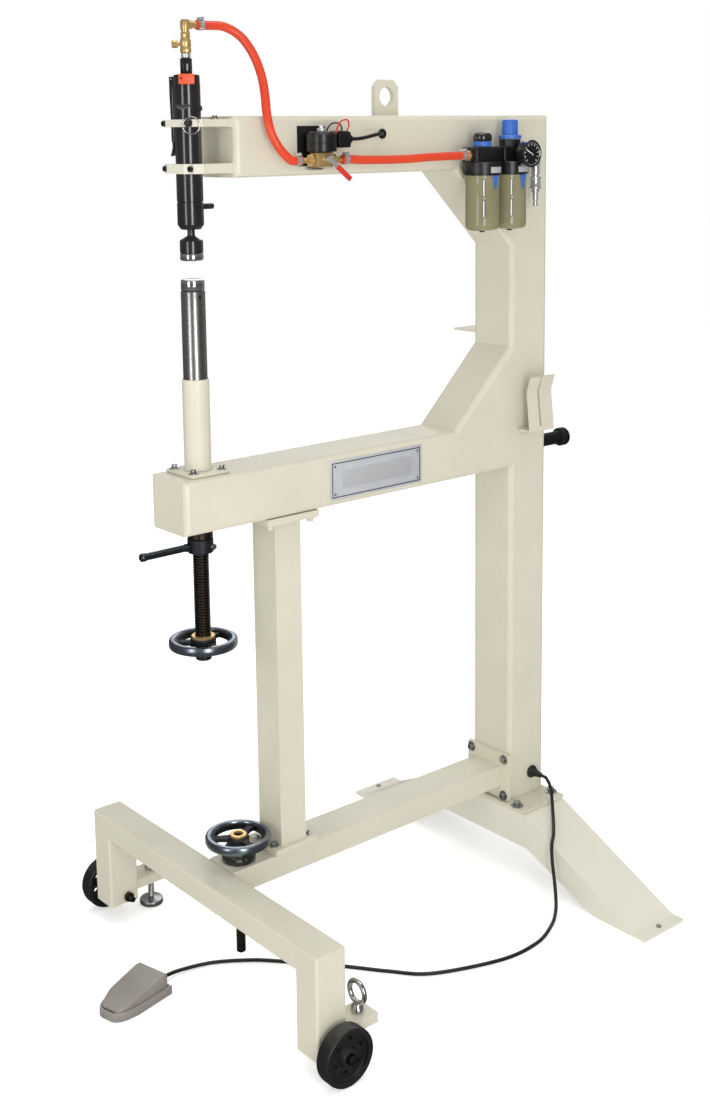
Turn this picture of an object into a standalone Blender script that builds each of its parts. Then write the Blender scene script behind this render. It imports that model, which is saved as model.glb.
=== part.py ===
"""Pneumatic planishing hammer on its wheeled stand.

Metres, +Z up. X runs along the arms, from the hammer (-X) to the column (+X);
Y runs across. The origin is under the middle of the machine, on the floor.
"""

import math

import bmesh
import bpy
from mathutils import Matrix, Vector

# ---------------------------------------------------------------- driving dimensions
GAP = 0.0003            # between touching pieces
COLUMN_X = 0.351        # front face of the column
COLUMN_DEPTH = 0.100
FRAME_WIDTH = 0.106     # of the column and both arms, across Y
FRAME_WALL = 0.005
THROAT = 0.711          # from the column's face to the hammer's axis
FRAME_TOP = 1.551
FRAME_FOOT = 0.150
UPPER_ARM = (-0.653, 1.450)      # end of the arm from the column's face, underside
LOWER_ARM = (-0.773, 0.857, 0.951)   # end, underside, top
GUSSET = 0.150
HALF = FRAME_WIDTH / 2

HAMMER_X = COLUMN_X - THROAT
BARREL_R = 0.022
BARREL_Z = (1.366, 1.619)
CLAMP_LEVELS = ((1.534, 1.546), (1.458, 1.474))
CLAMP_HALF = 0.044
CLAMP_JOINT_X = HAMMER_X + GAP
CLAMP_FRONT_X = HAMMER_X - 0.027
PIN_Y = -0.0375
CLAMP_EAR_X = HAMMER_X - 0.020    # the cap is thinner where its screws sit
LEVER_TURN = math.radians(63)    # the throttle lever sits this far round from -X, towards +Y

POST_R = 0.0205
POST_Z = (1.000, 1.264)
DIE_TOP_Z = 1.283
SLEEVE_R = 0.0230
SLEEVE_TOP_Z = 1.114
SCREW_R = 0.014
SCREW_Z = (0.618, 0.9997)
HANDWHEEL_R = 0.060
HANDWHEEL_RIM = 0.016
ANVIL_WHEEL_Z = 0.649
LOCK_NUT_Z = (0.811, 0.8355)

BAR_X = (COLUMN_X - 0.747, COLUMN_X - 0.686)
BAR_Z = (0.177, 0.221)
BAR_HALF = 0.350
LEG_THICK = 0.056
LEG_FOOT = 0.037
BEAM_Z = (0.178, 0.222)
BEAM_HALF = 0.037
FRONT_POST_X = (COLUMN_X - 0.576, COLUMN_X - 0.519)
FRONT_POST_HALF = 0.0335

WHEEL_R = 0.050
WHEEL_Y = 0.374
AXLE_X = COLUMN_X - 0.710
LEVELLER_X = COLUMN_X - 0.640
LEVELLER_Y = 0.322
JACK_X = COLUMN_X - 0.648

LEG_X = (COLUMN_X - 0.017, COLUMN_X + 0.100)
LEG_TOP_Z = 0.1416
LEG_SHEET = 0.006

FRL_Y = -0.091
LUBRICATOR_X = COLUMN_X - 0.120
FILTER_X = COLUMN_X - 0.047
SOLENOID = (COLUMN_X - 0.496, -0.083)

PEDAL_BACK = (COLUMN_X - 0.793, 0.062)
PEDAL_TURN = math.radians(14)
PEDAL_LENGTH = 0.125

HOSE_R = 0.0075
CABLE_R = 0.0034

ROUND = 24              # sides of a large round piece
SMALL = 16              # sides of a small one

# ---------------------------------------------------------------- helpers


def clear_scene():
    for old in list(bpy.data.objects):
        bpy.data.objects.remove(old, do_unlink=True)


def finish(name, colour, roughness, metallic=0.0):
    made = bpy.data.materials.new(name)
    made.use_nodes = True
    shader = made.node_tree.nodes["Principled BSDF"]
    shader.inputs["Base Color"].default_value = (*colour, 1.0)
    shader.inputs["Roughness"].default_value = roughness
    shader.inputs["Metallic"].default_value = metallic
    return made


def add(name, bm, material, smooth=True):
    """Makes a bmesh into a named object."""
    bmesh.ops.recalc_face_normals(bm, faces=bm.faces)
    mesh = bpy.data.meshes.new(name)
    bm.to_mesh(mesh)
    bm.free()
    if smooth:
        mesh.shade_smooth()
        mesh.set_sharp_from_angle(angle=math.radians(35))
    piece = bpy.data.objects.new(name, mesh)
    bpy.context.scene.collection.objects.link(piece)
    if material is not None:
        mesh.materials.append(material)
    return piece


def box_mesh(low, high, bevel=0.0):
    bm = bmesh.new()
    bmesh.ops.create_cube(bm, size=1.0)
    size = Vector(high) - Vector(low)
    middle = (Vector(high) + Vector(low)) / 2
    bmesh.ops.scale(bm, vec=size, verts=bm.verts)
    bmesh.ops.translate(bm, vec=middle, verts=bm.verts)
    if bevel:
        bmesh.ops.bevel(bm, geom=bm.edges[:], offset=bevel, segments=1, affect="EDGES")
    return bm


def box(name, low, high, material=None, bevel=0.0):
    return add(name, box_mesh(low, high, bevel), material, smooth=False)


def place(axis, flat, along):
    """Turns a point of an outline into a point in space, for a prism along an axis."""
    first, second = flat
    if axis == "x":
        return Vector((along, first, second))
    if axis == "y":
        return Vector((first, along, second))
    return Vector((first, second, along))


def prism_mesh(outline, axis, low, high, rounding=0.0, keep_sharp=None):
    """Extrudes an outline along an axis. The rims of both ends can be rounded."""
    bm = bmesh.new()
    ring = [bm.verts.new(place(axis, flat, low)) for flat in outline]
    cap = bm.faces.new(ring)
    out = bmesh.ops.extrude_face_region(bm, geom=[cap])
    moved = [v for v in out["geom"] if isinstance(v, bmesh.types.BMVert)]
    step = place(axis, (0.0, 0.0), high - low)
    bmesh.ops.translate(bm, vec=step, verts=moved)
    if rounding:
        index = "xyz".index(axis)
        rims = [
            e for e in bm.edges
            if abs(e.verts[0].co[index] - e.verts[1].co[index]) < 1e-6
            and not (keep_sharp and all(keep_sharp(v.co) for v in e.verts))
        ]
        bmesh.ops.bevel(bm, geom=rims, offset=rounding, segments=2, profile=0.5, affect="EDGES")
    return bm


def prism(name, outline, axis, low, high, material=None, rounding=0.0, keep_sharp=None):
    return add(name, prism_mesh(outline, axis, low, high, rounding, keep_sharp), material)


def inset(outline, wall):
    """Moves every side of a closed outline inwards by the wall's thickness."""
    count = len(outline)
    area = sum(
        outline[i][0] * outline[(i + 1) % count][1] - outline[(i + 1) % count][0] * outline[i][1]
        for i in range(count)
    )
    turn = 1.0 if area > 0 else -1.0
    inner = []
    for i in range(count):
        before, here, after = (Vector(outline[(i + k) % count]) for k in (-1, 0, 1))
        a = (here - before).normalized()
        b = (after - here).normalized()
        normal_a = Vector((-a.y, a.x)) * turn
        normal_b = Vector((-b.y, b.x)) * turn
        middle = (normal_a + normal_b).normalized()
        inner.append(tuple(here + middle * (wall / middle.dot(normal_a))))
    return inner


def turned_mesh(profile, centre, axis, sides, closed=False):
    """Turns a profile of (radius, height) points about an axis through centre."""
    bm = bmesh.new()
    rings = []
    for radius, height in profile:
        if radius < 1e-6:
            rings.append([bm.verts.new(place_round(axis, 0.0, 0.0, height, centre))])
            continue
        rings.append([
            bm.verts.new(place_round(
                axis,
                radius * math.cos(2 * math.pi * i / sides),
                radius * math.sin(2 * math.pi * i / sides),
                height,
                centre,
            ))
            for i in range(sides)
        ])
    pairs = list(zip(rings, rings[1:]))
    if closed:
        pairs.append((rings[-1], rings[0]))
    for upper, lower in pairs:
        for i in range(sides):
            j = (i + 1) % sides
            corners = [upper[i % len(upper)], upper[j % len(upper)],
                       lower[j % len(lower)], lower[i % len(lower)]]
            bm.faces.new(list(dict.fromkeys(corners)))
    return bm


def place_round(axis, across, second, height, centre):
    if axis == "z":
        local = Vector((across, second, height))
    elif axis == "y":
        local = Vector((across, height, second))
    else:
        local = Vector((height, across, second))
    return local + Vector(centre)


def turned(name, profile, centre, axis="z", material=None, sides=SMALL, closed=False):
    return add(name, turned_mesh(profile, centre, axis, sides, closed), material)


def rod(name, radius, low, high, centre, axis="z", material=None, sides=SMALL, chamfer=0.0):
    """A round bar between two heights on an axis through centre."""
    if chamfer:
        profile = [(0, low), (radius - chamfer, low), (radius, low + chamfer),
                   (radius, high - chamfer), (radius - chamfer, high), (0, high)]
    else:
        profile = [(0, low), (radius, low), (radius, high), (0, high)]
    return turned(name, profile, centre, axis, material, sides)


def hidden(piece):
    piece.hide_render = True
    piece.display_type = "WIRE"
    return piece


def boolean(piece, other, operation):
    mod = piece.modifiers.new(operation.lower(), "BOOLEAN")
    mod.operation = operation
    mod.object = hidden(other)
    mod.solver = "EXACT"


def cut(piece, other):
    boolean(piece, other, "DIFFERENCE")


def join(piece, other):
    boolean(piece, other, "UNION")


def set_origin(piece, point):
    """Moves an object's origin onto a point, such as its joint's axis."""
    piece.data.transform(Matrix.Translation(-Vector(point)))
    piece.location = point


def smooth_route(points, spacing):
    """Reads evenly spaced points off a Catmull-Rom curve through a route.

    The first and last stretches stay straight, where the cord meets its fittings.
    """
    route = [Vector(p) for p in points]
    fine = []
    for a, b, c, d in zip(route, route[1:], route[2:], route[3:]):
        for i in range(20):
            t = i / 20
            fine.append(0.5 * (2 * b + (c - a) * t + (2 * a - 5 * b + 4 * c - d) * t * t
                               + (3 * b - a - 3 * c + d) * t ** 3))
    fine.append(route[-2])
    total = sum((q - p).length for p, q in zip(fine, fine[1:]))
    count = max(2, round(total / spacing))
    step = total / count
    even = [route[0], fine[0]]
    walked = 0.0
    for p, q in zip(fine, fine[1:]):
        length = (q - p).length
        while len(even) - 1 < count and walked + length >= step * (len(even) - 1):
            even.append(p.lerp(q, (step * (len(even) - 1) - walked) / length))
        walked += length
    return [*even, route[-2], route[-1]]


def cord(name, points, radius, spacing, material):
    data = bpy.data.curves.new(name, "CURVE")
    data.dimensions = "3D"
    data.bevel_depth = radius
    data.bevel_resolution = 2
    data.use_fill_caps = True
    spline = data.splines.new("POLY")
    even = smooth_route(points, spacing)
    spline.points.add(len(even) - 1)
    for target, point in zip(spline.points, even):
        target.co = (*point, 1.0)
    data.materials.append(material)
    piece = bpy.data.objects.new(name, data)
    bpy.context.scene.collection.objects.link(piece)
    return piece


# ---------------------------------------------------------------- welded frame


def c_frame_outline():
    """The C of the frame in X and Z: column, two arms and the gussets in the throat."""
    face = COLUMN_X
    back = COLUMN_X + COLUMN_DEPTH
    top_end, top_under = UPPER_ARM
    low_end, low_under, low_top = LOWER_ARM
    return [
        (face + top_end, FRAME_TOP), (face + top_end, top_under),
        (face - GUSSET, top_under), (face, top_under - GUSSET),
        (face, low_top + GUSSET), (face - GUSSET, low_top),
        (face + low_end, low_top), (face + low_end, low_under),
        (face, low_under), (face, FRAME_FOOT),
        (back, FRAME_FOOT), (back, FRAME_TOP),
    ]


def make_c_frame(paint):
    outline = c_frame_outline()
    frame = prism("c_frame", outline, "y", -HALF, HALF, paint, rounding=0.008,
                  keep_sharp=lambda co: co.z < FRAME_FOOT + 1e-4)
    inner = [
        (x, z - 0.02) if z < FRAME_FOOT + 0.01 else (x, z)
        for x, z in inset(outline, FRAME_WALL)
    ]
    cut(frame, prism("frame_hollow", inner, "y", FRAME_WALL - HALF, HALF - FRAME_WALL))
    # the fork: two plates welded to the end of the upper arm, notched for the barrel
    arm_end = COLUMN_X + UPPER_ARM[0]
    for number, (low, high) in enumerate(CLAMP_LEVELS):
        plate = box(f"fork_plate_{number}", (CLAMP_JOINT_X, -CLAMP_HALF, low),
                    (arm_end + 0.003, CLAMP_HALF, high))
        join(frame, plate)
    cut(frame, rod("fork_notch", BARREL_R + 2 * GAP, 1.44, 1.56, (HAMMER_X, 0, 0), sides=ROUND))
    # a small shelf welded on the far side of the column
    shelf = box("shelf_tab", (COLUMN_X + 0.004, HALF - 0.002, 1.119),
                (COLUMN_X + 0.070, HALF + 0.062, 1.123))
    join(frame, shelf)
    # holes: anvil post, screw nut, the two cable entries
    hammer = (HAMMER_X, 0, 0)
    cut(frame, rod("post_hole", POST_R + 0.0007, 0.93, 0.97, hammer, sides=ROUND))
    cut(frame, rod("nut_hole", 0.0226, 0.84, 0.88, hammer, sides=ROUND))
    valve_entry = (COLUMN_X - 0.334, 0, 1.519)
    cut(frame, rod("valve_cable_hole", 0.0065, -0.07, -0.03, valve_entry, "y"))
    pedal_entry = (COLUMN_X + 0.065, 0, 0.194)
    cut(frame, rod("pedal_cable_hole", 0.0105, -0.07, -0.03, pedal_entry, "y"))
    return frame


def make_stand(paint):
    """Base beam, crossbar with its legs, rear leg, base plate and front post."""
    face = COLUMN_X
    beam = box("base_beam", (BAR_X[1] + GAP, -BEAM_HALF, BEAM_Z[0]), (face - 0.005, BEAM_HALF, BEAM_Z[1]), paint)
    flange = box("beam_flange", (face - 0.0103, -0.058, 0.1515), (face - GAP, 0.058, 0.250))
    join(beam, flange)
    cut(beam, box("beam_hollow", (BAR_X[1] - 0.01, 0.004 - BEAM_HALF, BEAM_Z[0] + 0.004),
                  (face + 0.01, BEAM_HALF - 0.004, BEAM_Z[1] - 0.004)))
    cut(beam, rod("jack_hole", 0.0100, 0.15, 0.24, (JACK_X, 0, 0)))

    outline = [
        (-BAR_HALF, LEG_FOOT), (-BAR_HALF, BAR_Z[1]), (BAR_HALF, BAR_Z[1]), (BAR_HALF, LEG_FOOT),
        (BAR_HALF - LEG_THICK, LEG_FOOT), (BAR_HALF - LEG_THICK, BAR_Z[0]),
        (LEG_THICK - BAR_HALF, BAR_Z[0]), (LEG_THICK - BAR_HALF, LEG_FOOT),
    ]
    bar = prism("crossbar", outline, "x", BAR_X[0], BAR_X[1], paint, rounding=0.004,
                keep_sharp=lambda co: co.z < LEG_FOOT + 1e-4)
    inner = [(y, z - 0.02) if z < LEG_FOOT + 0.01 else (y, z) for y, z in inset(outline, 0.004)]
    cut(bar, prism("bar_hollow", inner, "x", BAR_X[0] + 0.004, BAR_X[1] - 0.004))
    for side in (-1, 1):
        bracket = box(f"leveller_bracket_{side}", (BAR_X[1] - 0.002, side * LEVELLER_Y - 0.025, 0.055),
                      (LEVELLER_X + 0.024, side * LEVELLER_Y + 0.025, 0.073))
        join(bar, bracket)
    for side in (-1, 1):
        cut(bar, rod(f"leveller_hole_{side}", 0.0066, 0.03, 0.09, (LEVELLER_X, side * LEVELLER_Y, 0)))
    cut(bar, rod("axle_hole", 0.0066, -0.4, 0.4, (AXLE_X, 0, WHEEL_R), "y"))

    plate = box("base_plate", (face - 0.018, -0.108, LEG_TOP_Z + GAP), (face + 0.104, 0.108, FRAME_FOOT - GAP), paint)
    hole = rod("drain_hole", 0.012, 0.13, 0.16, (face + 0.05, 0, 0))
    cut(plate, hole)
    make_rear_leg(paint)

    post_low = BEAM_Z[1] + GAP
    post_high = LOWER_ARM[1] - GAP
    middle = sum(FRONT_POST_X) / 2
    post = box("front_post", (FRONT_POST_X[0], -FRONT_POST_HALF, post_low + 0.005),
               (FRONT_POST_X[1], FRONT_POST_HALF, post_high - 0.005), paint)
    join(post, box("post_foot", (middle - 0.047, -0.043, post_low), (middle + 0.047, 0.043, post_low + 0.012)))
    join(post, box("post_head", (middle - 0.057, -HALF, post_high - 0.012), (middle + 0.057, HALF, post_high)))
    cut(post, box("post_hollow", (FRONT_POST_X[0] + 0.004, 0.004 - FRONT_POST_HALF, 0.2),
                  (FRONT_POST_X[1] - 0.004, FRONT_POST_HALF - 0.004, 0.9)))


def make_rear_leg(paint):
    """Bent sheet channel across the back: flat top, two slopes, two floor tabs."""
    top, half_top, foot, tab_end = LEG_TOP_Z, 0.115, 0.398, 0.425
    outer = [
        (-tab_end, 0.0), (-tab_end, LEG_SHEET), (-foot, LEG_SHEET), (-half_top, top),
        (half_top, top), (foot, LEG_SHEET), (tab_end, LEG_SHEET), (tab_end, 0.0),
        (0.300, 0.0), (0.119, 0.072), (-0.119, 0.072), (-0.300, 0.0),
    ]
    leg = prism("rear_leg", outer, "x", LEG_X[0], LEG_X[1], paint)
    slope = (top - LEG_SHEET) / (foot - half_top)
    drop = LEG_SHEET * math.sqrt(1 + slope * slope)
    under = [(-half_top, top - LEG_SHEET), (half_top, top - LEG_SHEET)]
    low = -0.01
    reach = half_top + (top - drop - low) / slope
    under = [(-reach, low), (-half_top + 0.001, top - LEG_SHEET), (half_top - 0.001, top - LEG_SHEET), (reach, low)]
    cut(leg, prism("leg_hollow", under, "x", LEG_X[0] + LEG_SHEET, LEG_X[1] - LEG_SHEET))
    middle = sum(LEG_X) / 2
    for side in (-1, 1):
        cut(leg, rod(f"floor_hole_{side}", 0.0055, -0.02, 0.03, (middle, side * 0.412, 0), sides=12))


def make_fittings(paint, plate_metal, steel):
    """Lifting eye, name plate, hanger bracket and the rear peg."""
    eye_x = COLUMN_X - 0.2800
    eye = prism("lifting_eye", eye_outline(eye_x), "y", -0.005, 0.005, paint)
    cut(eye, rod("eye_hole", 0.0175, -0.02, 0.02, (eye_x, 0, 1.586), "y"))
    box("name_plate", (COLUMN_X - 0.465, -HALF - GAP - 0.0015, 0.868),
        (COLUMN_X - 0.244, -HALF - GAP, 0.940), plate_metal)

    left, right = COLUMN_X + 0.018, COLUMN_X + 0.086
    hanger = box("hanger_bracket", (left, -0.0885, 0.930), (right, -HALF - GAP, 0.9335), paint)
    side_view = [
        (-0.0885, 0.930), (-0.0885, 0.9335), (-0.0800, 1.010), (-0.0900, 1.040),
        (-0.0872, 1.041), (-0.0770, 1.010), (-0.0850, 0.9335), (-0.0850, 0.930),
    ]
    blade = prism("hanger_blade", side_view, "x", left, right)
    join(hanger, blade)
    cut(hanger, box("finger_gap", (COLUMN_X + 0.046, -0.11, 0.940), (COLUMN_X + 0.052, -0.070, 1.06)))

    back = COLUMN_X + COLUMN_DEPTH + GAP
    profile = [(0, 0), (0.0135, 0), (0.0135, 0.096), (0.019, 0.099), (0.019, 0.112), (0.016, 0.115), (0, 0.115)]
    turned("rear_peg", profile, (back, 0, 0.883), "x", steel)


def eye_outline(middle):
    low, high, half = FRAME_TOP + GAP, 1.616, 0.0280
    corner = 0.012
    return [
        (middle - half, low), (middle + half, low), (middle + half, high - corner),
        (middle + half - corner, high), (middle - half + corner, high), (middle - half, high - corner),
    ]


# ---------------------------------------------------------------- anvil


def make_anvil(paint, steel, dark_steel, bluish):
    centre = (HAMMER_X, 0, 0)
    low = LOWER_ARM[2] + GAP
    sleeve = turned("anvil_sleeve", [(POST_R + 0.0005, low + 0.002), (SLEEVE_R, low + 0.002),
                                     (SLEEVE_R, SLEEVE_TOP_Z), (POST_R + 0.0005, SLEEVE_TOP_Z)],
                    centre, "z", paint, ROUND, closed=True)
    flange = box("sleeve_flange", (HAMMER_X - 0.040, -0.040, low), (HAMMER_X + 0.040, 0.040, low + 0.006))
    cut(flange, rod("flange_bore", POST_R + 0.0005, 0.9, 1.0, centre, sides=ROUND))
    join(sleeve, flange)

    nut = [(SCREW_R + 0.0006, 0.8368), (0.0220, 0.8368), (0.0220, 0.877), (SCREW_R + 0.0006, 0.877)]
    turned("screw_nut", nut, centre, "z", dark_steel, ROUND, closed=True)

    rod("anvil_post", POST_R, POST_Z[0], POST_Z[1] - GAP, centre, "z", steel, ROUND, chamfer=0.001)
    die = [(0, POST_Z[1]), (0.0200, POST_Z[1]), (0.0200, DIE_TOP_Z - 0.003),
           (0.0185, DIE_TOP_Z - 0.001), (0.0160, DIE_TOP_Z), (0, DIE_TOP_Z)]
    turned("lower_die", die, centre, "z", steel, ROUND)

    rod("anvil_screw", SCREW_R, SCREW_Z[0], SCREW_Z[1], centre, "z", dark_steel, ROUND, chamfer=0.001)
    handwheel("anvil_handwheel", (HAMMER_X, 0, ANVIL_WHEEL_Z), SCREW_R + GAP, 0.024, 0.0, bluish)

    bore = SCREW_R + 0.0006
    lock = [(bore, LOCK_NUT_Z[0]), (0.0215, LOCK_NUT_Z[0]), (0.0225, LOCK_NUT_Z[0] + 0.002),
            (0.0225, LOCK_NUT_Z[1]), (bore, LOCK_NUT_Z[1])]
    turned("lock_nut", lock, centre, "z", dark_steel, ROUND, closed=True)
    lever_z = sum(LOCK_NUT_Z) / 2
    lever = turned("lock_lever", [(0, 0.0230), (0.0065, 0.0235), (0.0065, 0.115), (0.0058, 0.120), (0, 0.121)],
                   (0, 0, 0), "x", steel, SMALL)
    lever.rotation_euler = (0, 0, math.pi)
    lever.location = (HAMMER_X, 0, lever_z)


def handwheel(name, centre, bore, hub_r, hub_drop, material):
    """A dished three-spoke handwheel; hub_drop lowers the hub below the rim."""
    x, y, z = centre
    rim_half = HANDWHEEL_RIM / 2
    rim_in = HANDWHEEL_R - 0.014
    rim = [(rim_in, -rim_half), (HANDWHEEL_R - 0.002, -rim_half), (HANDWHEEL_R, -rim_half + 0.002),
           (HANDWHEEL_R, rim_half - 0.002), (HANDWHEEL_R - 0.002, rim_half), (rim_in, rim_half)]
    wheel = turned(name, rim, centre, "z", material, ROUND, closed=True)
    hub = [(0.0, -0.012 - hub_drop), (hub_r, -0.012 - hub_drop), (hub_r, 0.004), (hub_r - 0.004, 0.008), (0.0, 0.008)]
    join(wheel, turned(f"{name}_hub", hub, centre, "z", None, ROUND))
    for i in range(3):
        spoke = box(f"{name}_spoke_{i}", (0.010, -0.009, -0.005), (rim_in + 0.004, 0.009, 0.004))
        spoke.rotation_euler = (0, 0, math.radians(25 + 120 * i))
        spoke.location = centre
        join(wheel, spoke)
    cut(wheel, rod(f"{name}_bore", bore, -0.1, 0.1, centre, "z", None, ROUND))
    return wheel


# ---------------------------------------------------------------- hammer


def make_hammer(black, paint, steel, brass):
    centre = (HAMMER_X, 0, 0)
    low, high = BARREL_Z
    bore = 0.0125
    barrel = [
        (0.0070, low), (0.0165, low), (BARREL_R, low + 0.006), (BARREL_R, high - 0.002),
        (BARREL_R - 0.002, high), (0.0040, high), (0.0040, high - 0.030), (bore, high - 0.030),
        (bore, low + 0.030), (0.0070, low + 0.030),
    ]
    body = turned("hammer_barrel", barrel, centre, "z", black, ROUND, closed=True)
    notch = box("exhaust_notch", (-0.030, -0.030, 1.563), (-0.0145, 0.030, 1.572))
    notch.rotation_euler = (0, 0, math.radians(45))
    notch.location = centre
    cut(body, notch)
    rod("hammer_piston", bore - 0.0004, low + 0.0345, low + 0.092, centre, "z", steel, SMALL, chamfer=0.001)

    die = [
        (0, 1.314), (0.0180, 1.314), (0.0195, 1.3155), (0.0195, 1.3255), (0.0190, 1.3265),
        (0.0195, 1.3275), (0.0195, 1.348), (0.0062, 1.3555), (0.0062, low + 0.034), (0, low + 0.034),
    ]
    turned("upper_die", die, centre, "z", black, ROUND)

    for number, (bottom, top) in enumerate(CLAMP_LEVELS):
        level = ("upper", "lower")[number]
        back = CLAMP_JOINT_X - GAP
        half_cap = [(CLAMP_FRONT_X, 0.026), (CLAMP_EAR_X, 0.031), (CLAMP_EAR_X, CLAMP_HALF), (back, CLAMP_HALF)]
        shape = half_cap + [(px, -py) for px, py in reversed(half_cap)]
        cap = prism(f"clamp_cap_{level}", shape, "z", bottom, top, paint)
        cut(cap, rod(f"cap_bore_{level}", BARREL_R + GAP, 1.40, 1.60, centre, sides=ROUND))
        if level == "upper":
            pin_axis = (HAMMER_X, PIN_Y, (bottom + top) / 2)
            cut(cap, rod("pin_hole", 0.0040, -0.030, -0.0030, pin_axis, "x", sides=12))
            slot = box("lever_slot", (-0.0320, -0.0085, 1.52), (-0.010, 0.0085, 1.56))
            slot.rotation_euler = (0, 0, -LEVER_TURN)
            slot.location = centre
            cut(cap, slot)

    pin_z = sum(CLAMP_LEVELS[0]) / 2
    pin = [(0, -0.0290), (0.0055, -0.0290), (0.0062, -0.0280), (0.0062, -0.0203), (0.0036, -0.0203),
           (0.0036, -0.0040), (0, -0.0040)]
    turned("release_pin", pin, (HAMMER_X, PIN_Y, pin_z), "x", black, 12)

    # the lever lies along the far left of the barrel and is pinned at its top
    lever_shape = [
        (-0.0232, high - 0.003), (-0.0300, high - 0.003), (-0.0300, high - 0.030), (-0.0275, 1.500),
        (-0.0262, 1.487), (-0.0232, 1.487),
    ]
    lever = prism("throttle_lever", lever_shape, "y", -0.007, 0.007, black)
    lever.data.transform(Matrix.Rotation(-LEVER_TURN, 4, "Z"))
    lever.location = (HAMMER_X, 0, 0)

    inlet = [(0, high + GAP), (0.0095, high + GAP), (0.0095, 1.646), (0.0066, 1.6465), (0.0066, 1.653), (0, 1.653)]
    turned("air_inlet", inlet, centre, "z", black, 12)
    valve = turned("flow_valve", [(0, 1.6533), (0.0080, 1.6533), (0.0092, 1.656), (0.0092, 1.682),
                                  (0.0070, 1.6867), (0, 1.6867)], centre, "z", brass, 12)
    knob = [(0, 0.0098), (0.0030, 0.0098), (0.0030, 0.0125), (0.0062, 0.0128), (0.0066, 0.021), (0.0050, 0.0225), (0, 0.0225)]
    turn = turned("flow_knob", knob, (0, 0, 0), "x", brass, 12)
    turn.rotation_euler = (0, 0, math.pi - math.radians(40))
    turn.location = (HAMMER_X, 0, 1.668)

    elbow = turned("hose_elbow", [(0, 1.6870), (0.0075, 1.6870), (0.0075, 1.7035), (0.0055, 1.7075), (0, 1.7075)],
                   centre, "z", brass, 12)
    arm = [(0, 0.0), (0.0068, 0.0), (0.0068, 0.014), (0.0052, 0.016), (0.0052, 0.021), (0, 0.021)]
    join(elbow, turned("elbow_arm", arm, (HAMMER_X, 0, 1.6990), "x", None, 12))


# ---------------------------------------------------------------- air treatment


def make_air_unit(black, bowl, blue, chrome, brass):
    left = COLUMN_X
    head_low, head_high = 1.441, 1.493
    for name, x in (("lubricator", LUBRICATOR_X), ("filter", FILTER_X)):
        plan = [(x - 0.0325, FRL_Y - 0.0190), (x + 0.0325, FRL_Y - 0.0190), (x + 0.0325, FRL_Y + 0.0130),
                (x + 0.0150, FRL_Y + 0.0130), (x + 0.0150, FRL_Y + 0.0375), (x - 0.0150, FRL_Y + 0.0375),
                (x - 0.0150, FRL_Y + 0.0130), (x - 0.0325, FRL_Y + 0.0130)]
        head = prism(f"{name}_head", plan, "z", head_low + 0.022, head_high, black)
        collar = rod(f"{name}_collar", 0.0355, head_low, head_low + 0.0245, (x, FRL_Y, 0), "z", None, ROUND)
        join(head, collar)
        shape = [(0, 1.338), (0.025, 1.338), (0.0315, 1.344), (0.0320, head_low - GAP), (0.0285, head_low - GAP),
                 (0.0280, 1.3455), (0.023, 1.3415), (0, 1.3415)]
        turned(f"{name}_bowl", shape, (x, FRL_Y, 0), "z", bowl, ROUND)

    centre = (LUBRICATOR_X, FRL_Y, 0)
    dome = [(0, head_high + GAP), (0.0155, head_high + GAP), (0.0155, 1.503), (0.0145, 1.504),
            (0.0180, 1.505), (0.0180, 1.517), (0.0160, 1.519), (0, 1.519)]
    turned("oil_dome", dome, centre, "z", blue, SMALL)

    centre = (FILTER_X, FRL_Y, 0)
    knob = [(0, 1.5065), (0.0215, 1.5065), (0.0220, 1.5130), (0.0145, 1.516), (0.0150, 1.541), (0.0135, 1.543), (0, 1.543)]
    bonnet = rod("bonnet", 0.0205, head_high - 0.003, 1.506, centre, "z", None, SMALL)
    join(bpy.data.objects["filter_head"], bonnet)
    turned("regulator_knob", knob, centre, "z", blue, SMALL)

    gauge = [(0, -0.0193), (0.0060, -0.0193), (0.0060, -0.0375), (0.0230, -0.0385), (0.0255, -0.0405),
             (0.0255, -0.0570), (0.0235, -0.0580), (0, -0.0580)]
    turned("pressure_gauge", gauge, (FILTER_X + 0.001, FRL_Y, 1.4790), "y", black, ROUND)

    # quick coupler: it hangs from a right-angle fitting at the unit's inlet
    x = COLUMN_X + 0.024
    inlet = [(0, -0.0352), (0.0075, -0.0352), (0.0075, 0.006), (0, 0.006)]
    coupler = turned("coupler_body", inlet, (x, FRL_Y, 1.462), "x", chrome, 12)
    stem = [(0, 1.378), (0.0048, 1.378), (0.0048, 1.386), (0.0055, 1.386), (0.0055, 1.403), (0.0080, 1.404),
            (0.0080, 1.407), (0.0070, 1.407), (0.0070, 1.437), (0.0090, 1.440), (0.0090, 1.470), (0, 1.470)]
    join(coupler, turned("coupler_stem", stem, (x, FRL_Y, 0), "z", None, 12))
    sleeve = [(0.0075, 1.4105), (0.0110, 1.4105), (0.0115, 1.414), (0.0100, 1.418), (0.0100, 1.428),
              (0.0115, 1.431), (0.0110, 1.4335), (0.0075, 1.4335)]
    turned("coupler_sleeve", sleeve, (x, FRL_Y, 0), "z", chrome, 12, closed=True)


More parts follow.
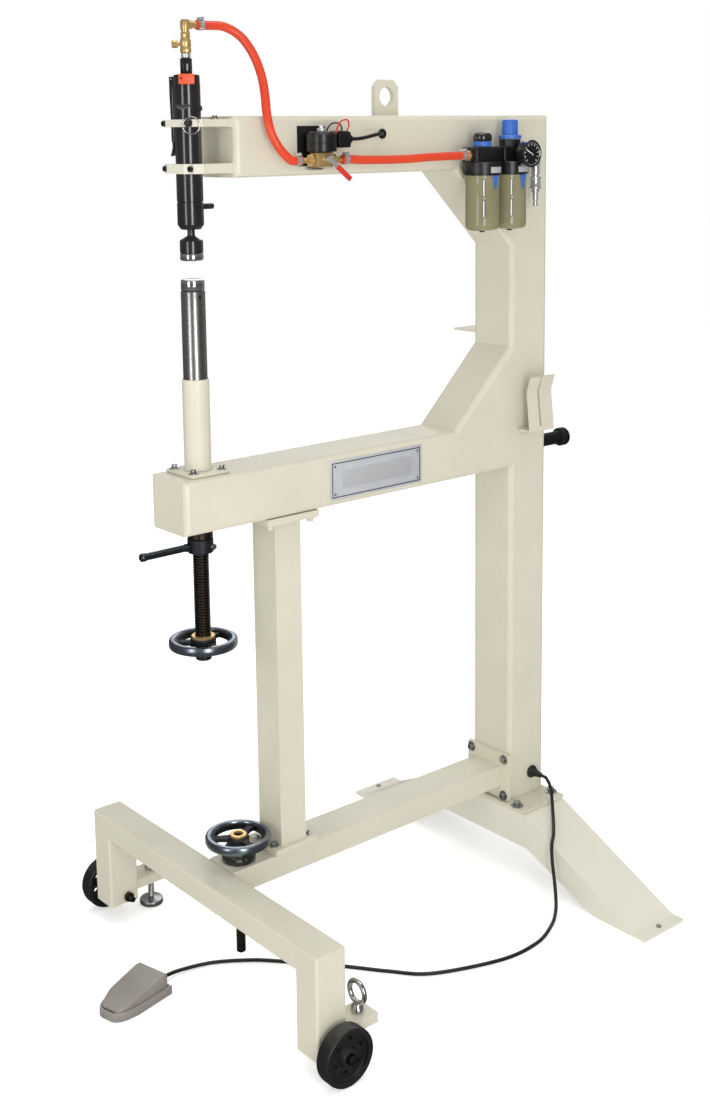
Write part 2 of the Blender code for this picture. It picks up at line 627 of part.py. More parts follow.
def make_solenoid(black, brass, chrome, red):
    x, y = SOLENOID
    body = box("solenoid_valve", (x - 0.022, y - 0.012, 1.464), (x + 0.022, y + 0.012, 1.4895), brass, bevel=0.002)
    barb = [(0, -0.043), (0.0045, -0.043), (0.0050, -0.028), (0.0085, -0.028), (0.0085, 0.028), (0.0050, 0.028),
            (0.0045, 0.043), (0, 0.043)]
    join(body, turned("barbs", barb, (x, y, 1.476), "x", None, 12))
    coil = [(0, 1.4898), (0.0260, 1.4898), (0.0265, 1.492), (0.0265, 1.520), (0.0240, 1.524), (0.0075, 1.524),
            (0.0070, 1.534), (0, 1.534)]
    turned("solenoid_coil", coil, (x, y, 0), "z", black, ROUND)
    plug_low = x + 0.0268
    plug = box("solenoid_plug", (plug_low, y - 0.014, 1.496), (plug_low + 0.028, y + 0.014, 1.524), black, bevel=0.002)
    gland = [(0, 0.026), (0.0085, 0.026), (0.0085, 0.034), (0.0050, 0.040), (0, 0.040)]
    join(plug, turned("plug_gland", gland, (plug_low, y, 1.511), "x", None, 12))

    lever = box("valve_lever", (-0.0050, -0.0017, -0.058), (0.0050, 0.0017, 0.0055), red, bevel=0.0008)
    hub = rod("lever_hub", 0.0060, -0.003, 0.004, (0, 0, 0), "y", None, 12)
    join(lever, hub)
    for piece in (lever, hub):
        piece.rotation_euler = (0, math.radians(-52), 0)
        piece.location = (x + 0.004, y - 0.0166, 1.478)


# ---------------------------------------------------------------- rolling gear


def make_rolling_gear(black, steel, dark_steel, bluish):
    for side, word in ((-1, "right"), (1, "left")):
        wheel = [
            (0.0066, -0.015), (0.0150, -0.015), (0.0170, -0.008), (0.0400, -0.008), (0.0420, -0.014),
            (0.0480, -0.014), (WHEEL_R, -0.011), (WHEEL_R, 0.011), (0.0480, 0.014), (0.0420, 0.014),
            (0.0400, 0.008), (0.0170, 0.008), (0.0150, 0.015), (0.0066, 0.015),
        ]
        centre = (AXLE_X, side * WHEEL_Y, WHEEL_R)
        rolling = turned(f"wheel_{word}", wheel, (0, 0, 0), "y", black, 28, closed=True)
        rolling.location = centre
        outer = side * (WHEEL_Y + 0.0153)
        profile = [
            (0, outer + side * 0.006), (0.0095, outer + side * 0.006), (0.0095, outer), (0.0060, outer),
            (0.0060, side * (BAR_HALF - LEG_THICK - GAP)), (0.0100, side * (BAR_HALF - LEG_THICK - GAP)),
            (0.0100, side * (BAR_HALF - LEG_THICK - 0.0103)), (0.0058, side * (BAR_HALF - LEG_THICK - 0.0105)),
            (0.0058, side * (BAR_HALF - LEG_THICK - 0.020)), (0, side * (BAR_HALF - LEG_THICK - 0.020)),
        ]
        turned(f"axle_{word}", profile, (AXLE_X, 0, WHEEL_R), "y", dark_steel, 12)
        make_leveller(word, side, steel)

    centre = (JACK_X, 0, 0)
    screw = [(0, 0.041), (0.0070, 0.041), (0.0085, 0.043), (0.0085, 0.264), (0.0070, 0.2655), (0, 0.2655)]
    turned("jack_screw", screw, centre, "z", dark_steel, SMALL)
    bearing = [(0.0092, BEAM_Z[1] + GAP), (0.0310, BEAM_Z[1] + GAP), (0.0310, 0.2440), (0.0280, 0.2485), (0.0092, 0.2485)]
    turned("jack_bearing", bearing, centre, "z", black, ROUND, closed=True)
    handwheel("jack_handwheel", (JACK_X, 0, 0.263), 0.0090, 0.022, 0.002, bluish)


def make_leveller(word, side, steel):
    """An eye screw through its bracket, standing on a swivel pad."""
    x, y = LEVELLER_X, side * LEVELLER_Y
    pad = [(0, 0.0), (0.0215, 0.0), (0.0230, 0.002), (0.0230, 0.009), (0.0200, 0.011), (0.0090, 0.012), (0, 0.012)]
    turned(f"leveller_pad_{word}", pad, (x, y, 0), "z", steel, ROUND)
    stem = rod(f"leveller_screw_{word}", 0.0060, 0.0123, 0.088, (x, y, 0), "z", steel, 12)
    ring = bmesh.new()
    major, minor, sides, around = 0.0190, 0.0045, 8, 16
    rings = []
    for i in range(around):
        a = 2 * math.pi * i / around
        loop = []
        for j in range(sides):
            b = 2 * math.pi * j / sides
            reach = major + minor * math.cos(b)
            loop.append(ring.verts.new((x + minor * math.sin(b) * 0.7, y + reach * math.sin(a), 0.108 + reach * math.cos(a))))
        rings.append(loop)
    for i in range(around):
        for j in range(sides):
            here, there = rings[i], rings[(i + 1) % around]
            ring.faces.new((here[j], here[(j + 1) % sides], there[(j + 1) % sides], there[j]))
    join(stem, add(f"eye_ring_{word}", ring, None))


# ---------------------------------------------------------------- pedal


def make_pedal(grey):
    """Cast foot switch: a tray on the floor and a wedge treadle hinged at its nose."""
    length = PEDAL_LENGTH
    outline = [(0.0, -0.039), (length - 0.042, -0.036), (length - 0.010, -0.026), (length, -0.012),
               (length, 0.012), (length - 0.010, 0.026), (length - 0.042, 0.036), (0.0, 0.039)]
    base = prism("pedal_base", outline, "z", 0.0, 0.016, grey)
    cut(base, prism("tray", inset(outline, 0.004), "z", 0.004, 0.03))
    side_view = [(0.0, 0.0125), (0.0, 0.041), (length - 0.036, 0.029), (length - 0.002, 0.0165),
                 (length - 0.002, 0.0125)]
    top = prism("pedal_treadle", side_view, "y", -0.0375, 0.0375, grey)
    keep = prism("treadle_outline", inset(outline, 0.0047), "z", 0.0, 0.06)
    boolean(top, keep, "INTERSECT")
    heading = math.pi + PEDAL_TURN
    tools = ("tray", "treadle_outline")
    for name in ("pedal_base", "pedal_treadle", *tools):
        piece = bpy.data.objects[name]
        piece.rotation_euler = (0, 0, heading)
        offset = Matrix.Rotation(heading, 4, "Z") @ piece.location
        piece.location = Vector((*PEDAL_BACK, 0)) + offset


# ---------------------------------------------------------------- hoses and cables


def make_cords(orange, cable):
    c = COLUMN_X
    x, y = SOLENOID
    cord("air_hose_upper", [
        (c - 0.6895, 0.0, 1.6990), (c - 0.668, 0.0, 1.6990), (c - 0.638, -0.006, 1.6975), (c - 0.612, -0.016, 1.6820),
        (c - 0.597, -0.030, 1.6530), (c - 0.592, -0.045, 1.6180), (c - 0.595, -0.058, 1.5850),
        (c - 0.600, -0.069, 1.5530), (c - 0.598, -0.077, 1.5230), (c - 0.584, -0.082, 1.4960),
        (x - 0.0640, y, 1.4760), (x - 0.0435, y, 1.4760),
    ], HOSE_R, 0.023, orange)
    cord("air_hose_feed", [
        (x + 0.0435, y, 1.476), (x + 0.0660, y, 1.476), (c - 0.400, -0.085, 1.4745), (c - 0.320, -0.090, 1.4740),
        (c - 0.250, -0.093, 1.4765), (LUBRICATOR_X - 0.057, FRL_Y, 1.4775), (LUBRICATOR_X - 0.035, FRL_Y, 1.4775),
    ], HOSE_R, 0.035, orange)
    cord("valve_cable", [
        (x + 0.0672, y, 1.511), (x + 0.0770, y, 1.511), (c - 0.402, -0.083, 1.5125), (c - 0.380, -0.080, 1.516), (c - 0.355, -0.072, 1.519),
        (c - 0.340, -0.060, 1.519), (c - 0.334, -0.048, 1.519),
    ], 0.0032, 0.014, cable)

    gland = [(0, -HALF + 0.003), (0.0100, -HALF + 0.003), (0.0100, -HALF - GAP), (0.0125, -HALF - 0.0005),
             (0.0125, -HALF - 0.004), (0.0085, -HALF - 0.007), (0.0050, -HALF - 0.028), (0, -HALF - 0.028)]
    boot = turned("cable_gland", gland, (c + 0.065, 0, 0.194), "y", cable, 12)
    heading = math.pi + PEDAL_TURN
    back = Vector((*PEDAL_BACK, 0.009)) - Vector((math.cos(heading), math.sin(heading), 0)) * 0.0005
    away = back - Vector((math.cos(heading), math.sin(heading), 0)) * 0.020
    cord("pedal_cable", [
        (c + 0.065, -HALF - 0.0285, 0.194), (c + 0.065, -0.094, 0.194), (c + 0.060, -0.113, 0.178), (c + 0.040, -0.138, 0.141),
        (c + 0.018, -0.160, 0.129), (c - 0.004, -0.180, 0.121), (c - 0.0245, -0.194, 0.111), (c - 0.034, -0.205, 0.083),
        (c - 0.037, -0.213, 0.053),
        (c - 0.044, -0.224, 0.022), (c - 0.066, -0.244, 0.0052), (c - 0.110, -0.272, CABLE_R), (c - 0.175, -0.295, CABLE_R),
        (c - 0.265, -0.291, CABLE_R), (c - 0.392, -0.240, CABLE_R), (c - 0.448, -0.182, CABLE_R), (c - 0.500, -0.115, CABLE_R),
        (c - 0.583, -0.019, CABLE_R), (c - 0.621, 0.018, CABLE_R), (c - 0.676, 0.055, CABLE_R), (c - 0.735, 0.071, 0.0050),
        tuple(away), tuple(back),
    ], CABLE_R, 0.020, cable)


# ---------------------------------------------------------------- assembly


def main():
    clear_scene()
    cream = finish("cream_paint", (0.75, 0.71, 0.58), 0.45)
    black = finish("black_metal", (0.02, 0.02, 0.022), 0.35, 0.6)
    rubber = finish("black_rubber", (0.02, 0.02, 0.02), 0.7)
    steel = finish("ground_steel", (0.55, 0.54, 0.53), 0.25, 1.0)
    dark_steel = finish("oiled_steel", (0.06, 0.055, 0.05), 0.4, 0.9)
    bluish = finish("polished_wheel", (0.35, 0.40, 0.45), 0.2, 1.0)
    chrome = finish("chrome", (0.75, 0.76, 0.78), 0.12, 1.0)
    brass = finish("brass", (0.62, 0.45, 0.18), 0.3, 1.0)
    orange = finish("orange_hose", (0.80, 0.10, 0.03), 0.4)
    blue = finish("blue_plastic", (0.05, 0.13, 0.5), 0.4)
    bowl = finish("olive_bowl", (0.30, 0.27, 0.14), 0.3)
    grey = finish("cast_grey", (0.38, 0.35, 0.31), 0.5, 0.3)
    plate_metal = finish("brushed_aluminium", (0.6, 0.61, 0.64), 0.3, 1.0)

    make_c_frame(cream)
    make_stand(cream)
    make_fittings(cream, plate_metal, dark_steel)
    make_anvil(cream, steel, dark_steel, bluish)
    make_hammer(black, cream, steel, brass)
    make_air_unit(black, bowl, blue, chrome, brass)
    make_solenoid(black, brass, chrome, orange)
    make_rolling_gear(rubber, steel, dark_steel, bluish)
    make_pedal(grey)
    make_cords(orange, rubber)


main()
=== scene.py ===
# %% [markdown]
# # Planishing hammer on a wheeled stand
# A hollow C-shaped frame holds an air hammer over an anvil post. This lesson dresses the plain solids of the
# machine: each step names a real piece, says how it is made, and then models it a little finer than the
# solid it stands for. All sizes are in metres, with +Z up and the floor at Z = 0.

# %% Start: load the machine and note where its main parts stand
import math

import bpy
from mathutils import Matrix, Vector


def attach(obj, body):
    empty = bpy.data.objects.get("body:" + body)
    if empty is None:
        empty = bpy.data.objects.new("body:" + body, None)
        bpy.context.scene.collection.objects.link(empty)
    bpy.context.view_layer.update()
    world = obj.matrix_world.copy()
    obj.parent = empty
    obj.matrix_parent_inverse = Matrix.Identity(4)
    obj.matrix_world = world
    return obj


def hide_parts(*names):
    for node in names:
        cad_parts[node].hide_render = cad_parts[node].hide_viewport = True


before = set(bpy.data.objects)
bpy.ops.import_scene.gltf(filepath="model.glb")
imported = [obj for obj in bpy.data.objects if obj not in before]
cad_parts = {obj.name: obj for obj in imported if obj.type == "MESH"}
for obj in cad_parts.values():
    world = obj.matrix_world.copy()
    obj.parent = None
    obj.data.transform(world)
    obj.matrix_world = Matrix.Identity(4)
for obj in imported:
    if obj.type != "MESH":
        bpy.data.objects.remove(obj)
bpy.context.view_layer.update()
COLUMN = 0.351          # front face of the column
HAMMER = COLUMN - 0.711  # axis shared by hammer, anvil post and screw
SIDE = -0.053           # the side of the frame that carries the air unit
TURN_X = (0.0, math.pi / 2, 0.0)    # stands a piece made along Z along X instead
TURN_Y = (math.pi / 2, 0.0, 0.0)    # and along -Y

# %% [markdown]
# ## The view
# A long lens from the front left, a little above the hammer, keeps the uprights nearly straight.

# %% Camera
view_data = bpy.data.cameras.new("view")
view_data.sensor_width = 36.0
view_data.lens = 47.59
view_data.shift_x = -0.001
view_data.shift_y = -0.166
view_data.clip_end = 50.0
view = bpy.data.objects.new("view", view_data)
bpy.context.scene.collection.objects.link(view)
azimuth, elevation, roll = math.radians(39.9), math.radians(9.2), math.radians(-0.7)
forward = Vector((math.sin(azimuth) * math.cos(elevation), math.cos(azimuth) * math.cos(elevation),
                  -math.sin(elevation)))
right = Vector((math.cos(azimuth), -math.sin(azimuth), 0.0))
up = right.cross(forward)
turned_right = right * math.cos(roll) + up * math.sin(roll)
turned_up = -right * math.sin(roll) + up * math.cos(roll)
spin = Matrix((turned_right, turned_up, -forward)).transposed().to_4x4()
view.matrix_world = Matrix.Translation((COLUMN - 2.0757, -2.0563, 1.5206)) @ spin
bpy.context.scene.camera = view
print("camera stands at", [round(value, 3) for value in view.matrix_world.translation])

# %% [markdown]
# ## Hoses and cables
# Each is one smooth tube along a route of listed points. The ends run straight into their fittings.

# %% Cord maker
HOSE_WIDE = 0.015
CABLE_WIDE = 0.0068


def smooth_route(points, spacing):
    """Evenly spaced points on a Catmull-Rom curve; both end stretches stay straight."""
    route = [Vector(p) for p in points]
    fine = []
    for a, b, c, d in zip(route, route[1:], route[2:], route[3:]):
        for i in range(20):
            t = i / 20
            fine.append(0.5 * (2 * b + (c - a) * t + (2 * a - 5 * b + 4 * c - d) * t * t
                               + (3 * b - a - 3 * c + d) * t ** 3))
    fine.append(route[-2])
    total = sum((q - p).length for p, q in zip(fine, fine[1:]))
    count = max(2, round(total / spacing))
    step = total / count
    even = [route[0], fine[0]]
    walked = 0.0
    for p, q in zip(fine, fine[1:]):
        length = (q - p).length
        while len(even) - 1 < count and walked + length >= step * (len(even) - 1):
            even.append(p.lerp(q, (step * (len(even) - 1) - walked) / length))
        walked += length
    return [*even, route[-2], route[-1]]


def lay_cord(name, points, wide, spacing, stands_for):
    data = bpy.data.curves.new(name, "CURVE")
    data.dimensions = "3D"
    data.bevel_depth = 1.0      # each point's own radius brings this down to the cord's
    data.bevel_resolution = 6
    data.use_fill_caps = True
    spline = data.splines.new("POLY")
    route = smooth_route(points, spacing)
    spline.points.add(len(route) - 1)
    for target, point in zip(spline.points, route):
        target.co = (*point, 1.0)
        target.radius = wide / 2
    spline.use_smooth = True
    piece = bpy.data.objects.new(name, data)
    bpy.context.scene.collection.objects.link(piece)
    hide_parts(stands_for)
    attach(piece, "frame")
    return piece


# %% The two air hoses, the valve's cable and the pedal's cable
C = COLUMN
LUB_X, FILTER_X, AIR_Y = C - 0.120, C - 0.047, -0.091
COIL_X, COIL_Y = C - 0.496, -0.083
hose_upper = lay_cord("upper_air_hose", [
    (C - 0.6895, 0.0, 1.6990), (C - 0.668, 0.0, 1.6990), (C - 0.638, -0.006, 1.6975),
    (C - 0.612, -0.016, 1.6820),
    (C - 0.597, -0.030, 1.6530), (C - 0.592, -0.045, 1.6180), (C - 0.595, -0.058, 1.5850),
    (C - 0.600, -0.069, 1.5530), (C - 0.598, -0.077, 1.5230), (C - 0.584, -0.082, 1.4960),
    (COIL_X - 0.0640, COIL_Y, 1.4760), (COIL_X - 0.0435, COIL_Y, 1.4760),
], HOSE_WIDE, 0.006, "air_hose_upper")
hose_feed = lay_cord("feed_air_hose", [
    (COIL_X + 0.0435, COIL_Y, 1.476), (COIL_X + 0.0660, COIL_Y, 1.476), (C - 0.400, -0.085, 1.4745),
    (C - 0.320, -0.090, 1.4740), (C - 0.250, -0.093, 1.4765), (LUB_X - 0.057, AIR_Y, 1.4775),
    (LUB_X - 0.035, AIR_Y, 1.4775),
], HOSE_WIDE, 0.008, "air_hose_feed")
valve_lead = lay_cord("valve_lead", [
    (COIL_X + 0.0672, COIL_Y, 1.511), (COIL_X + 0.0770, COIL_Y, 1.511), (C - 0.402, -0.083, 1.5125),
    (C - 0.380, -0.080, 1.516), (C - 0.355, -0.072, 1.519), (C - 0.340, -0.060, 1.519),
    (C - 0.334, -0.048, 1.519),
], 0.0064, 0.004, "valve_cable")
away = Vector((math.cos(math.radians(14)), math.sin(math.radians(14)), 0.0))
pedal_back = Vector((C - 0.793, 0.062, 0.009))
pedal_lead = lay_cord("pedal_lead", [
    (C + 0.065, SIDE - 0.0285, 0.194), (C + 0.065, -0.094, 0.194), (C + 0.060, -0.113, 0.178),
    (C + 0.040, -0.138, 0.141), (C + 0.018, -0.160, 0.129), (C - 0.004, -0.180, 0.121),
    (C - 0.0245, -0.194, 0.111), (C - 0.034, -0.205, 0.083), (C - 0.037, -0.213, 0.053),
    (C - 0.044, -0.224, 0.022), (C - 0.066, -0.244, 0.0052), (C - 0.110, -0.272, 0.0034),
    (C - 0.175, -0.295, 0.0034), (C - 0.265, -0.291, 0.0034), (C - 0.392, -0.240, 0.0034),
    (C - 0.448, -0.182, 0.0034), (C - 0.500, -0.115, 0.0034), (C - 0.583, -0.019, 0.0034),
    (C - 0.621, 0.018, 0.0034), (C - 0.676, 0.055, 0.0034), (C - 0.735, 0.071, 0.0050),
    tuple(pedal_back + away * 0.0205), tuple(pedal_back + away * 0.0005),
], CABLE_WIDE, 0.007, "pedal_cable")

# %% [markdown]
# ## Finishes
# Three shared effects do the work: a coat with orange peel and soft blotches, for paint, plastic and rubber;
# metal with grain drawn out one way; and a grey tint in patches on level faces that look up, partly dust and
# partly painted shade on the tops.

# %% Shared effects as node groups


def new_group(name, inputs, outputs):
    tree = bpy.data.node_groups.new(name, "ShaderNodeTree")
    for label, kind, value in inputs:
        socket = tree.interface.new_socket(name=label, in_out="INPUT", socket_type=kind)
        if value is not None:
            socket.default_value = value
    for label, kind in outputs:
        tree.interface.new_socket(name=label, in_out="OUTPUT", socket_type=kind)
    return tree, tree.nodes.new("NodeGroupInput"), tree.nodes.new("NodeGroupOutput")


def noise(tree, vector, scale, detail, rough=0.5):
    node = tree.nodes.new("ShaderNodeTexNoise")
    node.inputs["Detail"].default_value = detail
    node.inputs["Roughness"].default_value = rough
    tree.links.new(vector, node.inputs["Vector"])
    if isinstance(scale, (int, float)):
        node.inputs["Scale"].default_value = scale
    else:
        tree.links.new(scale, node.inputs["Scale"])
    return node.outputs["Fac"]


def sums(tree, operation, first, second, clamp=False):
    node = tree.nodes.new("ShaderNodeMath")
    node.operation = operation
    node.use_clamp = clamp
    for value, socket in ((first, node.inputs[0]), (second, node.inputs[1])):
        if isinstance(value, (int, float)):
            socket.default_value = value
        else:
            tree.links.new(value, socket)
    return node.outputs[0]


def blend_colour(tree, factor, first, second, mode="MIX"):
    node = tree.nodes.new("ShaderNodeMix")
    node.data_type = "RGBA"
    node.blend_type = mode
    slots = [s for s in node.inputs if s.type == "RGBA"]
    for value, socket in ((factor, node.inputs["Factor"]), (first, slots[0]), (second, slots[1])):
        if isinstance(value, (int, float, tuple)):
            socket.default_value = value
        else:
            tree.links.new(value, socket)
    return [s for s in node.outputs if s.type == "RGBA"][0]


def spread(tree, value, low, high, to_low, to_high):
    node = tree.nodes.new("ShaderNodeMapRange")
    tree.links.new(value, node.inputs["Value"])
    for label, number in (("From Min", low), ("From Max", high), ("To Min", to_low), ("To Max", to_high)):
        node.inputs[label].default_value = number
    return node.outputs["Result"]


FLOAT, COLOUR, VECTOR = "NodeSocketFloat", "NodeSocketColor", "NodeSocketVector"
OUTS = [("Colour", COLOUR), ("Roughness", FLOAT), ("Height", FLOAT)]

coat, entry, leave = new_group("sprayed_coat", [
    ("Vector", VECTOR, None), ("Colour", COLOUR, (0.8, 0.8, 0.8, 1)), ("Shade", COLOUR, (0.5, 0.5, 0.5, 1)),
    ("Roughness", FLOAT, 0.4), ("Grain", FLOAT, 900.0), ("Blotch", FLOAT, 0.3)], OUTS)
peel = noise(coat, entry.outputs["Vector"], entry.outputs["Grain"], 2.0)
cloud = spread(coat, noise(coat, entry.outputs["Vector"], 7.0, 5.0, 0.6), 0.42, 0.68, 0.0, 1.0)
speck = spread(coat, noise(coat, entry.outputs["Vector"], 260.0, 2.0), 0.66, 0.72, 0.0, 1.0)
amount = sums(coat, "MULTIPLY", cloud, entry.outputs["Blotch"])
mixed = blend_colour(coat, amount, entry.outputs["Colour"], entry.outputs["Shade"])
fleck = sums(coat, "MULTIPLY", speck, sums(coat, "MULTIPLY", entry.outputs["Blotch"], 0.5))
mixed = blend_colour(coat, fleck, mixed, entry.outputs["Shade"])
rough = sums(coat, "ADD", entry.outputs["Roughness"], sums(coat, "MULTIPLY", cloud, 0.10))
coat.links.new(mixed, leave.inputs["Colour"])
coat.links.new(rough, leave.inputs["Roughness"])
coat.links.new(peel, leave.inputs["Height"])

grain, entry, leave = new_group("drawn_metal", [
    ("Vector", VECTOR, None), ("Colour", COLOUR, (0.5, 0.5, 0.5, 1)), ("Shade", COLOUR, (0.2, 0.2, 0.2, 1)),
    ("Roughness", FLOAT, 0.3), ("Stretch", VECTOR, (1.0, 1.0, 1.0)), ("Streak", FLOAT, 0.3)], OUTS)
pull = grain.nodes.new("ShaderNodeVectorMath")
pull.operation = "MULTIPLY"
grain.links.new(entry.outputs["Vector"], pull.inputs[0])
grain.links.new(entry.outputs["Stretch"], pull.inputs[1])
lines = noise(grain, pull.outputs[0], 1.0, 6.0, 0.65)
stain = spread(grain, noise(grain, entry.outputs["Vector"], 26.0, 4.0, 0.6), 0.45, 0.75, 0.0, 1.0)
lines_wide = spread(grain, lines, 0.35, 0.65, 0.0, 1.0)
tint = sums(grain, "MULTIPLY", lines_wide, entry.outputs["Streak"])
tint = sums(grain, "ADD", tint, sums(grain, "MULTIPLY", stain,
                                     sums(grain, "MULTIPLY", entry.outputs["Streak"], 0.6)), True)
shade = blend_colour(grain, tint, entry.outputs["Colour"], entry.outputs["Shade"])
rough = sums(grain, "ADD", entry.outputs["Roughness"], sums(grain, "MULTIPLY", lines_wide, 0.12))
grain.links.new(shade, leave.inputs["Colour"])
grain.links.new(rough, leave.inputs["Roughness"])
grain.links.new(lines, leave.inputs["Height"])

# greys the faces that look up, in patches: partly settled dust, partly painted shade on the tops
dust_shade_group, entry, leave = new_group("dust_and_top_shade", [
    ("Vector", VECTOR, None), ("Colour", COLOUR, (0.5, 0.5, 0.5, 1)), ("Dust and shade", COLOUR, (0.42, 0.40, 0.35, 1)),
    ("Amount", FLOAT, 0.2)], [("Colour", COLOUR), ("Mask", FLOAT)])
facing = dust_shade_group.nodes.new("ShaderNodeNewGeometry")
parts = dust_shade_group.nodes.new("ShaderNodeSeparateXYZ")
dust_shade_group.links.new(facing.outputs["Normal"], parts.inputs[0])
level = spread(dust_shade_group, parts.outputs["Z"], 0.55, 0.95, 0.0, 1.0)
patch = spread(dust_shade_group, noise(dust_shade_group, entry.outputs["Vector"], 40.0, 6.0, 0.65), 0.35, 0.7, 0.3, 1.0)
mask = sums(dust_shade_group, "MULTIPLY", sums(dust_shade_group, "MULTIPLY", level, patch), entry.outputs["Amount"], True)
dust_shade_group.links.new(blend_colour(dust_shade_group, mask, entry.outputs["Colour"], entry.outputs["Dust and shade"]),
               leave.inputs["Colour"])
dust_shade_group.links.new(mask, leave.inputs["Mask"])
print("made groups:", [g.name for g in bpy.data.node_groups])

# %% Materials from those groups


def start_material(name, metallic, bump_depth, coat_weight=0.0):
    made = bpy.data.materials.new(name)
    made.use_nodes = True
    tree = made.node_tree
    shader = tree.nodes["Principled BSDF"]
    shader.inputs["Metallic"].default_value = metallic
    shader.inputs["Coat Weight"].default_value = coat_weight
    where = tree.nodes.new("ShaderNodeTexCoord")
    bump = tree.nodes.new("ShaderNodeBump")
    bump.inputs["Strength"].default_value = 0.6
    bump.inputs["Distance"].default_value = bump_depth
    tree.links.new(bump.outputs["Normal"], shader.inputs["Normal"])
    return made, tree, shader, where.outputs["Object"], bump


def place_group(tree, group, where, values):
    node = tree.nodes.new("ShaderNodeGroup")
    node.node_tree = group
    tree.links.new(where, node.inputs["Vector"])
    for label, value in values.items():
        if isinstance(value, bpy.types.NodeSocket):
            tree.links.new(value, node.inputs[label])
        else:
            node.inputs[label].default_value = value
    return node


def finish(name, group, metallic, depth, dust_and_shade, coat_weight=0.0, **values):
    """A material made of one surface group, with a little dust and painted shade greying its level top faces.
    """
    made, tree, shader, where, bump = start_material(name, metallic, depth, coat_weight)
    surface = place_group(tree, group, where, values)
    # the level top faces get dust and painted shade
    dust_shade_node = place_group(tree, dust_shade_group, where, {"Colour": surface.outputs["Colour"], "Amount": dust_and_shade})
    tree.links.new(dust_shade_node.outputs["Colour"], shader.inputs["Base Color"])
    tree.links.new(surface.outputs["Roughness"], shader.inputs["Roughness"])
    tree.links.new(surface.outputs["Height"], bump.inputs["Height"])
    return made


def painted(name, colour, shade, roughness, blotch=0.3, grain_size=700.0, depth=0.0002, dust_and_shade=0.1,
            metallic=0.0, coat_weight=0.0):
    return finish(name, coat, metallic, depth, dust_and_shade, coat_weight, Colour=(*colour, 1), Shade=(*shade, 1),
                  Roughness=roughness, Grain=grain_size, Blotch=blotch)


def metal(name, colour, shade, roughness, stretch, streak=0.3, depth=0.00004, dust_and_shade=0.05, bare=1.0):
    return finish(name, grain, bare, depth, dust_and_shade, 0.0, Colour=(*colour, 1), Shade=(*shade, 1),
                  Roughness=roughness, Stretch=stretch, Streak=streak)


ROUND_Z = (90.0, 90.0, 4000.0)    # grain that runs round an upright piece
cream = painted("cream_paint", (0.655, 0.628, 0.505), (0.56, 0.53, 0.42), 0.36, 0.35, 420.0, 0.00025, 0.12)
bright_cream = painted("bright_cream_paint", (0.76, 0.735, 0.625), (0.66, 0.63, 0.53), 0.38, 0.3, 420.0,
                       0.00025, 0.05)
satin_black = painted("satin_black_steel", (0.010, 0.010, 0.011), (0.022, 0.021, 0.02), 0.17, 0.5, 900.0,
                      0.00003,
                      0.08, 0.0, 0.6)
dull_black = painted("black_plastic", (0.007, 0.007, 0.008), (0.018, 0.018, 0.018), 0.30, 0.5, 1500.0,
                     0.00006, 0.08)
rubber = painted("black_rubber", (0.006, 0.006, 0.006), (0.016, 0.015, 0.014), 0.45, 0.6, 1200.0, 0.00012,
                 0.10)
hose_skin = painted("orange_hose", (0.70, 0.060, 0.020), (0.48, 0.035, 0.012), 0.24, 0.4, 600.0, 0.0001, 0.1)
red_dip = painted("red_dipped_grip", (0.62, 0.03, 0.02), (0.40, 0.02, 0.015), 0.30, 0.3, 800.0, 0.0001, 0.05)
orange_tab = painted("orange_tab", (0.74, 0.085, 0.025), (0.50, 0.05, 0.02), 0.4, 0.3, 900.0, 0.0001, 0.05)
blue = painted("blue_plastic", (0.045, 0.16, 0.55), (0.025, 0.09, 0.36), 0.33, 0.4, 1200.0, 0.00008, 0.15)
cast = painted("grey_casting", (0.36, 0.335, 0.30), (0.22, 0.20, 0.18), 0.42, 0.6, 500.0, 0.0005, 0.25, 0.25)
white = painted("white_marks", (0.85, 0.85, 0.82), (0.7, 0.7, 0.68), 0.5, 0.2, 900.0, 0.00005, 0.0)
label = painted("silver_label", (0.72, 0.73, 0.75), (0.56, 0.57, 0.58), 0.35, 0.3, 900.0, 0.00005, 0.0, 0.5)
ground_steel = metal("ground_steel", (0.46, 0.445, 0.43), (0.22, 0.21, 0.20), 0.22, ROUND_Z, 0.4)
polished = metal("polished_steel", (0.70, 0.70, 0.71), (0.42, 0.42, 0.43), 0.10, ROUND_Z, 0.2)
wheel_rim = metal("polished_rim", (0.27, 0.31, 0.36), (0.12, 0.14, 0.18), 0.20, ROUND_Z, 0.35)
blued = metal("blued_steel", (0.10, 0.125, 0.155), (0.04, 0.05, 0.065), 0.24, (300.0, 300.0, 300.0), 0.5)
oily = metal("oiled_screw", (0.075, 0.062, 0.050), (0.025, 0.02, 0.018), 0.33, ROUND_Z, 0.5, 0.00006)
dark_cast = metal("dark_casting", (0.07, 0.075, 0.085), (0.03, 0.03, 0.035), 0.45, (300.0, 300.0, 300.0),
                  0.5, 0.0003)
zinc = metal("zinc_bolt", (0.52, 0.53, 0.52), (0.26, 0.27, 0.27), 0.30, (400.0, 400.0, 400.0), 0.5, 0.00005)
brass = metal("brass_fitting", (0.86, 0.62, 0.27), (0.58, 0.36, 0.13), 0.26, (300.0, 300.0, 900.0), 0.45,
              bare=0.75)
chrome = metal("chrome_fitting", (0.72, 0.73, 0.74), (0.45, 0.46, 0.47), 0.12, (200.0, 200.0, 900.0), 0.25,
               bare=0.7)
brushed = metal("brushed_plate", (0.74, 0.76, 0.80), (0.50, 0.52, 0.56), 0.42, (14.0, 900.0, 2600.0), 0.5,
                bare=0.4)
print(len(bpy.data.materials), "materials so far")

# dark guard edge round each sight window: painted shade of the recessed slot
guard_slot_shade = painted("bowl_guard_slot_shade", (0.10, 0.10, 0.075), (0.05, 0.05, 0.04), 0.3, 0.3, 900.0, 0.00005, 0.0)

